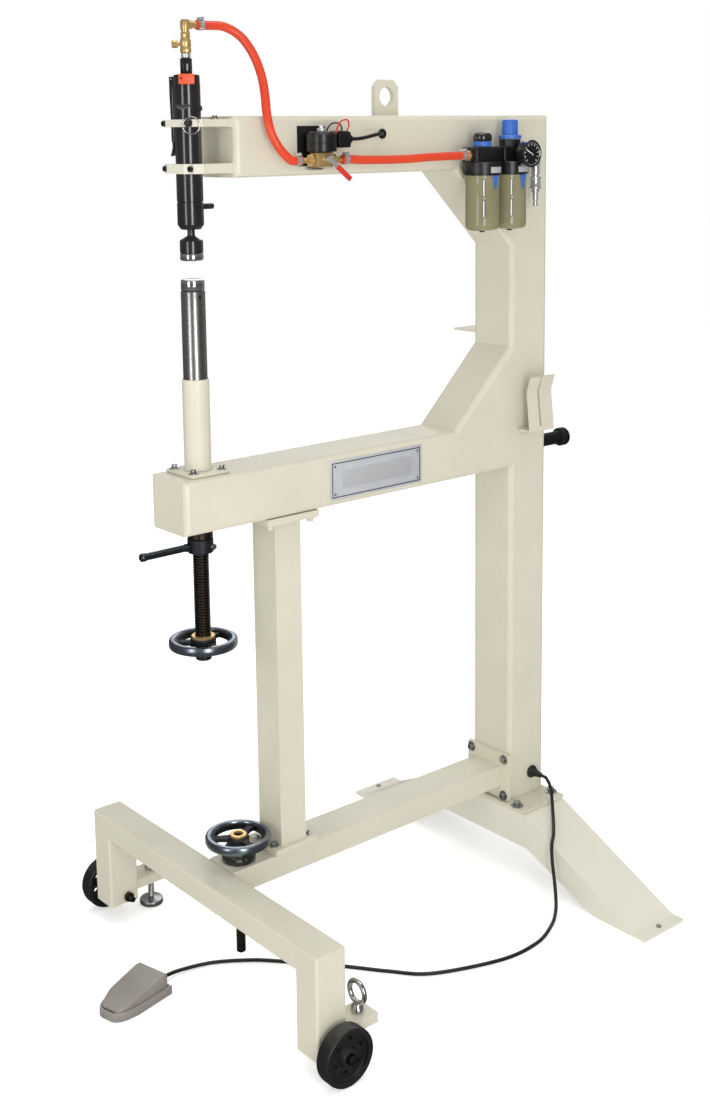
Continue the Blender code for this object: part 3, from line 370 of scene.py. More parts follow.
# %% The two bowls are a smoky olive plastic that lets some light through
bowl, tree, shader, where, bump = start_material("olive_bowl", 0.0, 0.00005)
surface = place_group(tree, coat, where, {"Colour": (0.36, 0.34, 0.20, 1), "Shade": (0.25, 0.24, 0.13, 1),
                                          "Roughness": 0.16, "Grain": 500.0, "Blotch": 0.5})
tree.links.new(surface.outputs["Colour"], shader.inputs["Base Color"])
tree.links.new(surface.outputs["Height"], bump.inputs["Height"])
shader.inputs["Roughness"].default_value = 0.16
shader.inputs["Transmission Weight"].default_value = 0.30
shader.inputs["IOR"].default_value = 1.45

# %% [markdown]
# ## Ways of making pieces
# Round pieces are turned: half a section is drawn point by point and spun about its axis. Flat pieces are
# drawn as an outline and extruded. Everything is then set at its place and its edges are softened.

# %% Modelling helpers


def ready():
    if bpy.context.object and bpy.context.object.mode != "OBJECT":
        bpy.ops.object.mode_set(mode="OBJECT")
    bpy.ops.object.select_all(action="DESELECT")


def pick(*pieces):
    ready()
    for piece in pieces:
        piece.select_set(True)
    bpy.context.view_layer.objects.active = pieces[-1]


def settle(name, centre, turn):
    piece = bpy.context.object
    piece.name = name
    piece.data.name = name
    piece.rotation_euler = turn
    piece.location = centre
    bpy.ops.object.transform_apply(location=True, rotation=True, scale=True)
    return piece


def start_line(x, y, z):
    ready()
    bpy.ops.mesh.primitive_plane_add(size=0.01)
    bpy.ops.object.mode_set(mode="EDIT")
    bpy.ops.mesh.merge(type="CENTER")
    bpy.ops.transform.translate(value=(x, y, z))


def draw_to(dx, dy, dz):
    bpy.ops.mesh.extrude_region_move(TRANSFORM_OT_translate={"value": (dx, dy, dz)})


def lathe(name, profile, centre=(0, 0, 0), turn=(0, 0, 0), sides=48, angle=30):
    """Spins half a section, given as (radius, height) points, about the Z axis."""
    start_line(profile[0][0], 0, profile[0][1])
    for (r0, z0), (r1, z1) in zip(profile, profile[1:]):
        draw_to(r1 - r0, 0, z1 - z0)
    bpy.ops.mesh.select_all(action="SELECT")
    bpy.ops.mesh.spin(steps=sides, angle=2 * math.pi, center=(0, 0, 0), axis=(0, 0, 1))
    bpy.ops.mesh.select_all(action="SELECT")
    bpy.ops.mesh.remove_doubles(threshold=0.00001)
    bpy.ops.mesh.normals_make_consistent(inside=False)
    bpy.ops.object.mode_set(mode="OBJECT")
    bpy.ops.object.shade_smooth_by_angle(angle=math.radians(angle))
    return settle(name, centre, turn)


def soften(piece, width, segments=2, angle=35):
    """Rounds every edge sharper than the angle."""
    pick(piece)
    rounding = piece.modifiers.new("rounding", "BEVEL")
    rounding.width = width
    rounding.segments = segments
    rounding.limit_method = "ANGLE"
    rounding.angle_limit = math.radians(angle)
    bpy.ops.object.modifier_apply(modifier="rounding")
    bpy.ops.object.shade_smooth_by_angle(angle=math.radians(40))
    return piece


def block(name, low, high, bevel=0.001, centre=(0, 0, 0), turn=(0, 0, 0), segments=2):
    ready()
    size = [h - l for l, h in zip(low, high)]
    middle = [(h + l) / 2 for l, h in zip(low, high)]
    bpy.ops.mesh.primitive_cube_add(size=1.0, location=middle, scale=size)
    bpy.ops.object.transform_apply(location=True, rotation=True, scale=True)
    if bevel:
        soften(bpy.context.object, bevel, segments)
    return settle(name, centre, turn)


def plate(name, outline, depth, bevel=0.0, centre=(0, 0, 0), turn=(0, 0, 0), segments=2):
    """Draws a closed outline of (x, y) points and extrudes it up along Z."""
    start_line(outline[0][0], outline[0][1], 0)
    for (x0, y0), (x1, y1) in zip(outline, [*outline[1:], outline[0]]):
        draw_to(x1 - x0, y1 - y0, 0)
    bpy.ops.mesh.select_all(action="SELECT")
    bpy.ops.mesh.remove_doubles(threshold=0.00001)
    bpy.ops.mesh.edge_face_add()
    draw_to(0, 0, depth)
    bpy.ops.mesh.select_all(action="SELECT")
    bpy.ops.mesh.normals_make_consistent(inside=False)
    bpy.ops.object.mode_set(mode="OBJECT")
    if bevel:
        soften(bpy.context.object, bevel, segments)
    return settle(name, centre, turn)


def bar(name, radius, length, centre=(0, 0, 0), turn=(0, 0, 0), sides=32, chamfer=0.0005):
    """A round bar from its centre point up its axis, with chamfered ends."""
    return lathe(name, [(0, 0), (radius - chamfer, 0), (radius, chamfer), (radius, length - chamfer),
                        (radius - chamfer, length), (0, length)], centre, turn, sides)


def ring(name, major, minor, centre, turn, sides=40):
    ready()
    bpy.ops.mesh.primitive_torus_add(major_radius=major, minor_radius=minor, major_segments=sides,
                                     minor_segments=10)
    bpy.ops.object.shade_smooth()
    return settle(name, centre, turn)


def hexagon(name, across, height, centre=(0, 0, 0), turn=(0, 0, 0), bevel=0.0004):
    """A hexagon bar: across is the distance between its flats."""
    ready()
    bpy.ops.mesh.primitive_cylinder_add(vertices=6, radius=across / math.sqrt(3), depth=height,
                                        location=(0, 0, height / 2))
    bpy.ops.object.transform_apply(location=True, rotation=True, scale=True)
    soften(bpy.context.object, bevel, 1)
    return settle(name, centre, turn)


def together(name, *pieces):
    pick(*pieces)
    bpy.ops.object.join()
    piece = bpy.context.object
    piece.name = name
    piece.data.name = name
    return piece


def carve(piece, cutter):
    """Takes the cutter's shape out of the piece."""
    pick(piece)
    cutting = piece.modifiers.new("cutting", "BOOLEAN")
    cutting.operation = "DIFFERENCE"
    cutting.object = cutter
    cutting.solver = "EXACT"
    bpy.ops.object.modifier_apply(modifier="cutting")
    bpy.data.objects.remove(cutter, do_unlink=True)
    bpy.ops.object.shade_smooth_by_angle(angle=math.radians(35))
    return piece


def dress(piece, material, body="frame", instead=()):
    """Gives a piece its finish, the body it moves with and the solids it stands for."""
    piece.data.materials.clear()
    piece.data.materials.append(material)
    if instead:
        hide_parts(*instead)
    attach(piece, body)
    return piece


def bolts(name, spots, turn, across=0.013, head=0.0065, material=None, body="frame", washer=True):
    """Hexagon bolts with washers, all facing one way, on these spots."""
    made = []
    for i, spot in enumerate(spots):
        base = 0.0002
        if washer:
            made.append(lathe("washer", [(0, 0), (across * 0.92, 0), (across * 0.92, 0.0014),
                                         (across * 0.86, 0.0016),
                                         (0, 0.0016)], spot, turn, 20))
            base = 0.0016
        top = hexagon("head", across, head, (0, 0, 0), (0, 0, 0.4 + i))
        top.location = (0, 0, base)
        pick(top)
        bpy.ops.object.transform_apply(location=True, rotation=True, scale=True)
        made.append(settle("head", spot, turn))
    piece = together(name, *made) if len(made) > 1 else made[0]
    piece.name = name
    return dress(piece, material or zinc, body)


print("helpers ready")

# %% [markdown]
# ## The welded frame
# The C frame, both beams, the post and the feet are steel box and sheet, welded and sprayed cream. The solids
# already have the right shape, so they keep their meshes and only get softer edges and paint.

# %% Paint and soften the frame
for name, material, radius in (("c_frame", cream, 0.0), ("front_post", cream, 0.0025),
                               ("base_beam", cream, 0.0025),
                               ("crossbar", cream, 0.0), ("base_plate", cream, 0.0012),
                               ("rear_leg", bright_cream, 0.0015), ("lifting_eye", cream, 0.0012),
                               ("hanger_bracket", cream, 0.0006), ("clamp_cap_upper", bright_cream, 0.0010),
                               ("clamp_cap_lower", bright_cream, 0.0010)):
    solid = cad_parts[name]
    solid.data.materials.clear()
    solid.data.materials.append(material)
    if radius:
        rounding = solid.modifiers.new("rounding", "BEVEL")
        rounding.width = radius
        rounding.segments = 2
        rounding.limit_method = "ANGLE"
        rounding.angle_limit = math.radians(40)
        rounding.harden_normals = True
print("frame painted")

# %% [markdown]
# ### Weld beads
# A bead runs where two plates meet. Each is a thin round rod, rippled along its length, laid in the corner it
# fills.

# %% Weld beads


def bead(name, start, end, radius=0.0022, material=None):
    start, end = Vector(start), Vector(end)
    along = end - start
    turn = along.to_track_quat("Z", "Y").to_euler()
    count = max(3, round(along.length / 0.004))
    profile = [(0, 0)]
    for i in range(count):
        profile.append((radius * 0.82, along.length * i / count))
        profile.append((radius, along.length * (i + 0.5) / count))
    profile.append((radius * 0.82, along.length))
    profile.append((0, along.length))
    piece = lathe(name, profile, tuple(start), tuple(turn), 8, 60)
    return dress(piece, material or cream)


eye_low, eye_high = C - 0.307, C - 0.253
bead("eye_weld_near", (eye_low, -0.0055, 1.5515), (eye_high, -0.0055, 1.5515))
bead("eye_weld_far", (eye_low, 0.0055, 1.5515), (eye_high, 0.0055, 1.5515))
arm_end = C - 0.653
for level in (1.534, 1.546, 1.458, 1.474):
    bead(f"fork_weld_{level}", (arm_end - 0.0005, -0.042, level), (arm_end - 0.0005, 0.042, level))
bead("shelf_weld", (C + 0.006, 0.0535, 1.1185), (C + 0.068, 0.0535, 1.1185))
bead("hanger_weld", (C + 0.020, -0.0545, 0.9295), (C + 0.084, -0.0545, 0.9295), 0.0018)
for side in (-1, 1):
    bead(f"column_weld_{side}", (C + 0.004, side * 0.0535, 0.1515), (C + 0.096, side * 0.0535, 0.1515))

# %% [markdown]
# ### Bolts of the stand
# Plated hexagon bolts with washers hold the flange to the column, the column's plate to the rear leg, the
# post's foot to the beam and its head to the arm.

# %% Stand bolts
DOWN = (math.pi, 0, 0)
FACE_BACK = (0, -math.pi / 2, 0)     # heads facing -X
bolts("flange_bolts", [(C - 0.0105, y, z) for y in (-0.047, 0.047) for z in (0.161, 0.239)], FACE_BACK,
      0.011, 0.006)
bolts("plate_bolts", [(C + x, y, 0.1500) for x in (0.023 - 0.030, 0.094) for y in (-0.082, 0.082)],
      (0, 0, 0), 0.014,
      0.008)
bolts("post_foot_bolts", [(C - 0.5475 + x, y, 0.2345) for x in (-0.0375, 0.0375) for y in (-0.022, 0.022)],
      (0, 0, 0),
      0.0105, 0.0055)
bolts("post_head_bolts", [(C - 0.5475 + x, y, 0.8445) for x in (-0.0440, 0.0440) for y in (-0.042, 0.042)],
      DOWN,
      0.011, 0.007, cream)
bolts("bar_bolts", [(C - 0.735, y, 0.1768) for y in (-0.180, -0.055, 0.055, 0.180)], DOWN, 0.010, 0.005,
      dull_black,
      "frame", False)
bolts("floor_screws", [(C + 0.0415, y, 0.0062) for y in (-0.412, 0.412)], (0, 0, 0), 0.0085, 0.0022, zinc,
      "frame",
      False)
print("bolts fitted")

# %% [markdown]
# ### Name plate
# A thin brushed plate riveted to the lower arm. It carries a plain raised border and one blank silver field.

# %% Name plate
plate_low, plate_high = C - 0.465, C - 0.244
sheet = block("maker_plate", (plate_low, SIDE - 0.0018, 0.868), (plate_high, SIDE - 0.0003, 0.940), 0.0005)
dress(sheet, brushed, instead=("name_plate",))
frame_bars = [
    block("border", (plate_low + 0.004, SIDE - 0.0022, 0.872), (plate_high - 0.004, SIDE - 0.0016, 0.8735),
          0),
    block("border", (plate_low + 0.004, SIDE - 0.0022, 0.9345), (plate_high - 0.004, SIDE - 0.0016, 0.936),
          0),
    block("border", (plate_low + 0.004, SIDE - 0.0022, 0.872), (plate_low + 0.0055, SIDE - 0.0016, 0.936), 0),
    block("border", (plate_high - 0.0055, SIDE - 0.0022, 0.872), (plate_high - 0.004, SIDE - 0.0016, 0.936),
          0),
]
dress(together("plate_border", *frame_bars), dull_black)
dress(block("plate_field", (plate_low + 0.026, SIDE - 0.0023, 0.887),
            (plate_high - 0.026, SIDE - 0.0016, 0.921),
            0.0004), label)
rivets = [bar("rivet", 0.0022, 0.0012, (x, SIDE - 0.0017, z), TURN_Y, 16, 0.0005)
          for x in (plate_low + 0.0105, plate_high - 0.0105) for z in (0.8785, 0.9295)]
dress(together("plate_rivets", *rivets), zinc)

# %% [markdown]
# ## The anvil
# A flanged guide bolted on the arm holds a ground steel post. A screw under the arm lifts the post; a
# handwheel turns it and a collar with a lever locks it.

# %% Guide, post and lower die
guide = lathe("post_guide", [(0.0208, 0.9572), (0.0236, 0.9572), (0.0250, 0.9585), (0.0236, 0.9602),
                             (0.0230, 0.9625), (0.0230, 1.1125), (0.0222, 1.1138), (0.0212, 1.1140),
                             (0.0208, 1.1130), (0.0208, 0.9572)], (HAMMER, 0, 0), sides=64)
flange = block("guide_flange", (-0.0395, -0.0395, 0.9513), (0.0395, 0.0395, 0.9575), 0.0015, (HAMMER, 0, 0))
carve(flange, bar("bore", 0.0208, 0.1, (HAMMER, 0, 0.90)))
dress(guide, cream, instead=("anvil_sleeve",))
dress(flange, cream)
bolts("guide_bolts", [(HAMMER + x, y, 0.9576) for x in (-0.029, 0.029) for y in (-0.029, 0.029)], (0, 0, 0),
      0.009,
      0.006)
post = lathe("ground_post", [(0, 1.0000), (0.0195, 1.0000), (0.0205, 1.0010), (0.0205, 1.2620),
                             (0.0198, 1.2634),
                             (0, 1.2634)], (HAMMER, 0, 0), sides=96)
carve(post, bar("set_hole", 0.0026, 0.02, (HAMMER, -0.014, 1.2535), TURN_Y, 24))
dress(post, ground_steel, "anvil", ("anvil_post",))
dress(bar("set_screw", 0.0022, 0.003, (HAMMER, -0.0148, 1.2535), TURN_Y, 16), dull_black, "anvil")
die = lathe("polished_lower_die", [(0, 1.2642), (0.0190, 1.2642), (0.0198, 1.2650), (0.0198, 1.2800),
                                   (0.0194, 1.2812), (0.0182, 1.2820), (0.0160, 1.2826), (0.0090, 1.2830),
                                   (0, 1.2831)], (HAMMER, 0, 0), sides=96, angle=50)
dress(die, polished, "anvil", ("lower_die",))

# %% [markdown]
# ### The screw
# Its thread is drawn as one tooth, and the tooth is repeated up the bar before the section is spun.

# %% Screw, nut and lock collar
PITCH = 0.005
core, crest = 0.0118, 0.0140
profile = [(0, 0.618), (crest - 0.0012, 0.618), (crest, 0.6192), (crest, 0.6640)]
z = 0.6650
while z < 0.9900:
    profile += [(core, z + 0.0006), (core, z + 0.0020), (crest, z + 0.0030), (crest, z + 0.0044)]
    z += PITCH
profile += [(crest - 0.001, 0.9985), (0, 0.9985)]
screw = lathe("lifting_screw", profile, (HAMMER, 0, 0), sides=40)
dress(screw, oily, "screw", ("anvil_screw",))
nut = lathe("arm_bush", [(0.0146, 0.8368), (0.0212, 0.8368), (0.0220, 0.8376), (0.0220, 0.8560),
                         (0.0218, 0.8770),
                         (0.0146, 0.8770), (0.0146, 0.8368)], (HAMMER, 0, 0))
dress(nut, oily, "frame", ("screw_nut",))
collar = lathe("lock_collar", [(0.0146, 0.8112), (0.0215, 0.8112), (0.0225, 0.8122), (0.0225, 0.8344),
                               (0.0215, 0.8354), (0.0146, 0.8354), (0.0146, 0.8112)], (HAMMER, 0, 0))
dress(collar, dark_cast, "lock", ("lock_nut",))
dress(hexagon("pinch_screw", 0.010, 0.008, (HAMMER + 0.010, -0.0195, 0.8232), TURN_Y), zinc, "lock")
lever = lathe("lock_handle", [(0, 0.0228), (0.0068, 0.0228), (0.0072, 0.0300), (0.0062, 0.0330),
                              (0.0062, 0.1090),
                              (0.0070, 0.1110), (0.0074, 0.1150), (0.0068, 0.1195), (0.0045, 0.1212),
                              (0, 0.1215)],
              (HAMMER, 0, 0.8232), (0, -math.pi / 2, 0), angle=50)
dress(lever, blued, "lock", ("lock_lever",))

# %% [markdown]
# ### Handwheels
# Cast wheels with three spokes. The rim is machined and polished all round; the hub and the spokes inside it
# stay dark and rough from the casting.

# %% Handwheels


def handwheel(name, centre, body, node, hub, bore):
    rim = lathe(f"{name}_rim", [
        (0.0478, -0.0070), (0.0500, -0.0078), (0.0560, -0.0080), (0.0588, -0.0068), (0.0600, -0.0040),
        (0.0600, 0.0038), (0.0588, 0.0066), (0.0560, 0.0080), (0.0510, 0.0080), (0.0488, 0.0070),
        (0.0478, 0.0050), (0.0478, -0.0070)], centre, sides=96, angle=24)
    dress(rim, wheel_rim, body, (node,))
    inner = lathe(f"{name}_lining", [(0.0450, -0.0062), (0.0477, -0.0062), (0.0477, 0.0048), (0.0450, 0.0040),
                                     (0.0450, -0.0062)], centre, sides=64)
    middle = lathe(f"{name}_hub", [(bore, hub[0]), (hub[2] - 0.001, hub[0]), (hub[2], hub[0] + 0.001),
                                   (hub[2], hub[1] - 0.003), (hub[2] - 0.002, hub[1]), (bore, hub[1]),
                                   (bore, hub[0])], centre)
    spokes = []
    for i in range(3):
        turn = (0, 0, math.radians(25 + 120 * i))
        outline = [(hub[2] - 0.003, -0.0085), (0.034, -0.0062), (0.0462, -0.0095), (0.0462, 0.0095),
                   (0.034, 0.0062), (hub[2] - 0.003, 0.0085)]
        low = plate("spoke", outline, 0.0080, 0.0015, (centre[0], centre[1], centre[2] - 0.0050), turn)
        spokes.append(low)
    dress(together(f"{name}_middle", inner, middle, *spokes), dark_cast, body)
    top = lathe(f"{name}_collar", [(bore, hub[1] + 0.0001), (bore + 0.0060, hub[1] + 0.0001),
                                   (bore + 0.0065, hub[1] + 0.0040), (bore + 0.0055, hub[1] + 0.0046),
                                   (bore, hub[1] + 0.0046), (bore, hub[1] + 0.0001)], centre, sides=40)
    dress(top, brass, body)


handwheel("anvil_wheel", (HAMMER, 0, 0.649), "screw", "anvil_handwheel", (-0.012, 0.008, 0.0225), 0.0142)
handwheel("jack_wheel", (C - 0.648, 0, 0.263), "jack_wheel", "jack_handwheel", (-0.0135, 0.0035, 0.0200),
          0.0090)

# %% [markdown]
# ## The air hammer
# A blackened steel barrel, gripped by two split clamps. Inside it a piston strikes the upper die's spindle.

# %% Barrel and its details
B = HAMMER
R = 0.022
barrel = lathe("air_hammer_barrel", [
    (0.0072, 1.3660), (0.0160, 1.3660), (0.0172, 1.3670), (R - 0.0004, 1.3730), (R, 1.3745), (R, 1.4098),
    (R - 0.0010, 1.4106), (R - 0.0010, 1.4120), (R, 1.4128), (R, 1.5480), (R, 1.5900), (R, 1.6160),
    (R - 0.0010, 1.6180), (R - 0.0030, 1.6190), (0.0100, 1.6190), (0.0100, 1.5900), (0.0125, 1.5900),
    (0.0125, 1.3960), (0.0072, 1.3960), (0.0072, 1.3660)], (B, 0, 0), sides=96)
barrel.data.materials.append(satin_black)
exhaust = math.radians(35)      # the exhaust faces this far round from -X, towards -Y
ramp = plate("ramp", [(-0.0240, 1.5590), (-0.0165, 1.5700), (-0.0240, 1.5700)], 0.06, 0, (0, 0.03, 0),
             (math.pi / 2, 0, 0))
pick(ramp)
ramp = settle("ramp", (B, 0, 0), (0, 0, exhaust))
ramp.data.materials.append(zinc)
pick(barrel)
cutting = barrel.modifiers.new("cutting", "BOOLEAN")
cutting.operation = "DIFFERENCE"
cutting.object = ramp
cutting.solver = "EXACT"
cutting.material_mode = "TRANSFER"
bpy.ops.object.modifier_apply(modifier="cutting")
bpy.data.objects.remove(ramp, do_unlink=True)
bpy.ops.object.shade_smooth_by_angle(angle=math.radians(30))
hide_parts("hammer_barrel")
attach(barrel, "frame")
switch = math.radians(56)
dress(block("power_switch", (-0.0244, -0.0132, 1.6025), (-0.0180, 0.0132, 1.6192), 0.0018, (B, 0, 0),
            (0, 0, switch), 3), orange_tab)
dot_x, dot_y = -0.0240, 0.0085
dress(bar("switch_dot", 0.0017, 0.0010, (B + dot_x * math.cos(switch) - dot_y * math.sin(switch),
                                         dot_x * math.sin(switch) + dot_y * math.cos(switch), 1.6120),
          (0, -math.pi / 2, switch), 20, 0.0003), dull_black)
stud = math.radians(-60)
dress(bar("governor_screw", 0.0045, 0.0060, (B + 0.0195 * math.cos(stud), 0.0195 * math.sin(stud), 1.5640),
          (0, math.pi / 2, stud), 24, 0.0008), satin_black)
peg = lathe("side_peg", [(0, 0.0195), (0.0050, 0.0195), (0.0050, 0.0440), (0.0045, 0.0450), (0.0030, 0.0450),
                         (0.0030, 0.0420), (0, 0.0420)], (B, 0, 1.403), TURN_X, 24)
dress(peg, satin_black)
swing = math.radians(63)      # the lever sits this far round from -X, towards +Y
spine = plate("spine", [(-0.0300, 1.6160), (-0.0300, 1.5890), (-0.0272, 1.5010), (-0.0300, 1.4900),
                        (-0.0312, 1.4875),
                        (-0.0300, 1.4862), (-0.0285, 1.4880), (-0.0245, 1.5000), (-0.0270, 1.5890),
                        (-0.0270, 1.6160)], 0.0120, 0.0006, (0, 0.0060, 0), (math.pi / 2, 0, 0))
cheeks = [plate("cheek", [(-0.0285, 1.6160), (-0.0285, 1.5100), (-0.0232, 1.5100), (-0.0232, 1.6160)],
                0.0014, 0.0004,
                (0, y, 0), (math.pi / 2, 0, 0)) for y in (-0.0046, 0.0060)]
pick(together("throttle", spine, *cheeks))
throttle = settle("throttle", (B, 0, 0), (0, 0, -swing))
dress(throttle, satin_black, "throttle", ("throttle_lever",))
pin_low = Matrix.Rotation(-swing, 3, "Z") @ Vector((-0.0266, -0.0068, 0))
dress(bar("lever_pin", 0.0016, 0.0136, (B + pin_low.x, pin_low.y, 1.6120), (-math.pi / 2, 0, -swing), 16),
      zinc,
      "throttle")

# %% Upper die, spindle and piston
body = lathe("upper_die_body", [
    (0, 1.3264), (0.0186, 1.3264), (0.0186, 1.3272), (0.0195, 1.3280), (0.0195, 1.3462), (0.0188, 1.3482),
    (0.0095, 1.3536), (0.0068, 1.3552), (0.0063, 1.3575), (0.0063, 1.3985), (0, 1.3985)], (B, 0, 0), sides=64)
dress(body, satin_black, "die", ("upper_die",))
face = lathe("upper_die_face", [(0, 1.3140), (0.0165, 1.3140), (0.0186, 1.3150), (0.0195, 1.3170),
                                (0.0195, 1.3252), (0.0188, 1.3262), (0, 1.3262)], (B, 0, 0), sides=64,
                                angle=50)
dress(face, polished, "die")
piston = bar("striker", 0.0120, 0.0570, (B, 0, 1.4007))
dress(piston, ground_steel, "piston", ("hammer_piston",))

# %% [markdown]
# ### Clamps
# Each cap is drawn up to its fork by two long socket screws. A spring pin with a ring locks the upper one.

# %% Clamp screws and pins


def socket_screw(spot, turn, wide, deep):
    return lathe("socket", [(0, 0.0), (wide, 0.0), (wide, deep - 0.0006), (wide - 0.0006, deep),
                            (wide * 0.5, deep), (wide * 0.5, deep - 0.0025), (0, deep - 0.0025)], spot, turn,
                            24)


ear = B - 0.0202
heads = [socket_screw((ear, y, z), FACE_BACK, 0.0048, 0.0055)
         for y, z in ((0.0375, 1.540), (0.0375, 1.466), (-0.0375, 1.466))]
dress(together("clamp_screws", *heads), satin_black)
pin = lathe("spring_pin", [(0, 0.0042), (0.0035, 0.0042), (0.0035, 0.0203), (0.0058, 0.0203),
                           (0.0063, 0.0212),
                           (0.0063, 0.0270), (0.0052, 0.0288), (0, 0.0292)], (B, -0.0375, 1.540), FACE_BACK,
                           32)
dress(pin, satin_black, "pin", ("release_pin",))
dress(ring("pin_ring", 0.0137, 0.0012, (B - 0.0214, -0.0420, 1.5360), (math.pi / 2, 0, -azimuth)), polished,
      "pin")
bolts("fork_bolt", [(B + 0.036, -0.026, 1.5462), (B + 0.036, 0.026, 1.5462)], (0, 0, 0), 0.0085, 0.0045)

# %% [markdown]
# ### Inlet of the hammer
# A hexagon adaptor, a small brass valve with its knob, and a swivel elbow for the hose.

# %% Inlet fittings
adaptor = together("inlet_adaptor", hexagon("hex", 0.0175, 0.0255, (B, 0, 1.6195), bevel=0.0007),
                   lathe("nipple", [(0, 1.6445), (0.0066, 1.6445), (0.0066, 1.6530), (0, 1.6530)], (B, 0, 0)))
dress(adaptor, satin_black, "frame", ("air_inlet",))
dress(lathe("inlet_collar", [(0.0067, 1.6462), (0.0080, 1.6462), (0.0080, 1.6520), (0.0067, 1.6520),
                             (0.0067, 1.6462)], (B, 0, 0)), chrome)
valve = together("brass_valve", hexagon("lower_hex", 0.0160, 0.0085, (B, 0, 1.6533), bevel=0.0005),
                 lathe("middle", [(0, 1.6615), (0.0078, 1.6615), (0.0092, 1.6645), (0.0092, 1.6735),
                                  (0.0076, 1.6765),
                                  (0, 1.6765)], (B, 0, 0)),
                 hexagon("upper_hex", 0.0150, 0.0100, (B, 0, 1.6765), (0, 0, 0.5), 0.0005))
dress(valve, brass, "frame", ("flow_valve",))
facing_left = (0, -math.pi / 2, math.radians(-40))
knob = lathe("brass_knob", [(0, 0.0094), (0.0030, 0.0094), (0.0030, 0.0125), (0.0060, 0.0128),
                            (0.0066, 0.0140),
                            (0.0066, 0.0205), (0.0056, 0.0222), (0, 0.0225)], (B, 0, 1.668), facing_left, 12,
                            20)
dress(knob, brass, "flow", ("flow_knob",))
elbow = together("brass_elbow", lathe("riser", [(0, 1.6868), (0.0066, 1.6868), (0.0066, 1.6905),
                                                (0.0078, 1.6915),
                                                (0.0078, 1.7030), (0.0060, 1.7070), (0, 1.7074)], (B, 0, 0)),
                 lathe("arm", [(0, 0), (0.0070, 0), (0.0070, 0.0130), (0.0052, 0.0150), (0.0052, 0.0208),
                               (0, 0.0208)],
                       (B, 0, 1.6990), TURN_X))
dress(elbow, brass, "frame", ("hose_elbow",))


def hose_clip(name, x, y, z, body="frame"):
    """A worm-drive clip: a band round the hose and its screw housing on top."""
    band = lathe("band", [(0.0077, -0.0045), (0.0086, -0.0045), (0.0086, 0.0045), (0.0077, 0.0045),
                          (0.0077, -0.0045)], (x, y, z), TURN_X, 32)
    housing = block("housing", (-0.0035, -0.0050, 0.0080), (0.0035, 0.0050, 0.0125), 0.0006, (x, y, z))
    worm = hexagon("worm", 0.0052, 0.0040, (x, y - 0.0050, z + 0.0103), TURN_Y, 0.0003)
    return dress(together(name, band, housing, worm), chrome, body)


hose_clip("clip_hammer", B + 0.0300, 0.0, 1.6990)
print("hammer done")

# %% [markdown]
# ## The solenoid valve
# A brass valve body with a barb for each hose, a black coil on top, a square plug and a small shut-off lever.

# %% Solenoid valve
X, Y = COIL_X, COIL_Y
body = together("valve_casting",
                block("middle", (X - 0.0180, Y - 0.0115, 1.4642), (X + 0.0180, Y + 0.0115, 1.4895), 0.0025),
                hexagon("left_hex", 0.0200, 0.0095, (X - 0.0265, Y, 1.476), TURN_X, 0.0006),
                hexagon("right_hex", 0.0200, 0.0095, (X + 0.0170, Y, 1.476), TURN_X, 0.0006),
                lathe("barbs", [(0, -0.0428), (0.0042, -0.0428), (0.0050, -0.0395), (0.0042, -0.0390),
                                (0.0050, -0.0350), (0.0042, -0.0345), (0.0050, -0.0262), (0.0050, 0.0262),
                                (0.0042, 0.0345), (0.0050, 0.0350), (0.0042, 0.0390), (0.0050, 0.0395),
                                (0.0042, 0.0428), (0, 0.0428)], (X, Y, 1.476), TURN_X, 24))
dress(body, brass, "frame", ("solenoid_valve",))
coil = lathe("coil_drum", [(0, 1.4899), (0.0250, 1.4899), (0.0262, 1.4910), (0.0262, 1.5040),
                           (0.0256, 1.5046),
                           (0.0256, 1.5056), (0.0262, 1.5062), (0.0262, 1.5190), (0.0245, 1.5215),
                           (0.0225, 1.5222), (0, 1.5222)], (X, Y, 0), sides=64)
dress(coil, dull_black, "frame", ("solenoid_coil",))
dress(lathe("coil_top_ring", [(0.0090, 1.5223), (0.0215, 1.5223), (0.0220, 1.5228), (0.0215, 1.5238),
                              (0.0090, 1.5238), (0.0090, 1.5223)], (X, Y, 0), sides=48), zinc)
dress(together("coil_nut", hexagon("nut", 0.0140, 0.0055, (X, Y, 1.5240), bevel=0.0005),
               lathe("tip", [(0, 1.529), (0.0045, 1.529), (0.0045, 1.5335), (0.0030, 1.5345), (0, 1.5345)],
                     (X, Y, 0), sides=24)), chrome)
plug = together("coil_plug", block("housing", (X + 0.0268, Y - 0.0140, 1.4962),
                                   (X + 0.0545, Y + 0.0140, 1.5240), 0.003),
                block("lid", (X + 0.0300, Y - 0.0150, 1.5100), (X + 0.0480, Y + 0.0150, 1.5250), 0.002),
                lathe("gland", [(0, 0.0270), (0.0085, 0.0270), (0.0088, 0.0290), (0.0088, 0.0345),
                                (0.0062, 0.0368),
                                (0.0050, 0.0400), (0, 0.0400)], (X + 0.0268, Y, 1.511), TURN_X, 24))
dress(plug, dull_black, "frame", ("solenoid_plug",))
dress(bar("plug_screw", 0.0028, 0.0010, (X + 0.0390, Y, 1.5250), (0, 0, 0), 20, 0.0003), zinc)
tilt = math.radians(-52)
grip = block("lever_grip", (-0.0046, -0.0024, -0.0580), (0.0046, 0.0024, -0.0200), 0.0018,
             (X + 0.004, Y - 0.0166, 1.478), (0, tilt, 0), 3)
dress(grip, red_dip, "cock", ("valve_lever",))
dress(together("lever_blade", block("blade", (-0.0036, -0.0012, -0.0220), (0.0036, 0.0012, 0.0050), 0.0005),
               bar("boss", 0.0058, 0.0062, (0, 0.0036, 0), TURN_Y, 24)), chrome, "cock")
blade = bpy.data.objects["lever_blade"]
blade.data.transform(Matrix.Translation((X + 0.004, Y - 0.0166, 1.478)) @ Matrix.Rotation(tilt, 4, "Y"))
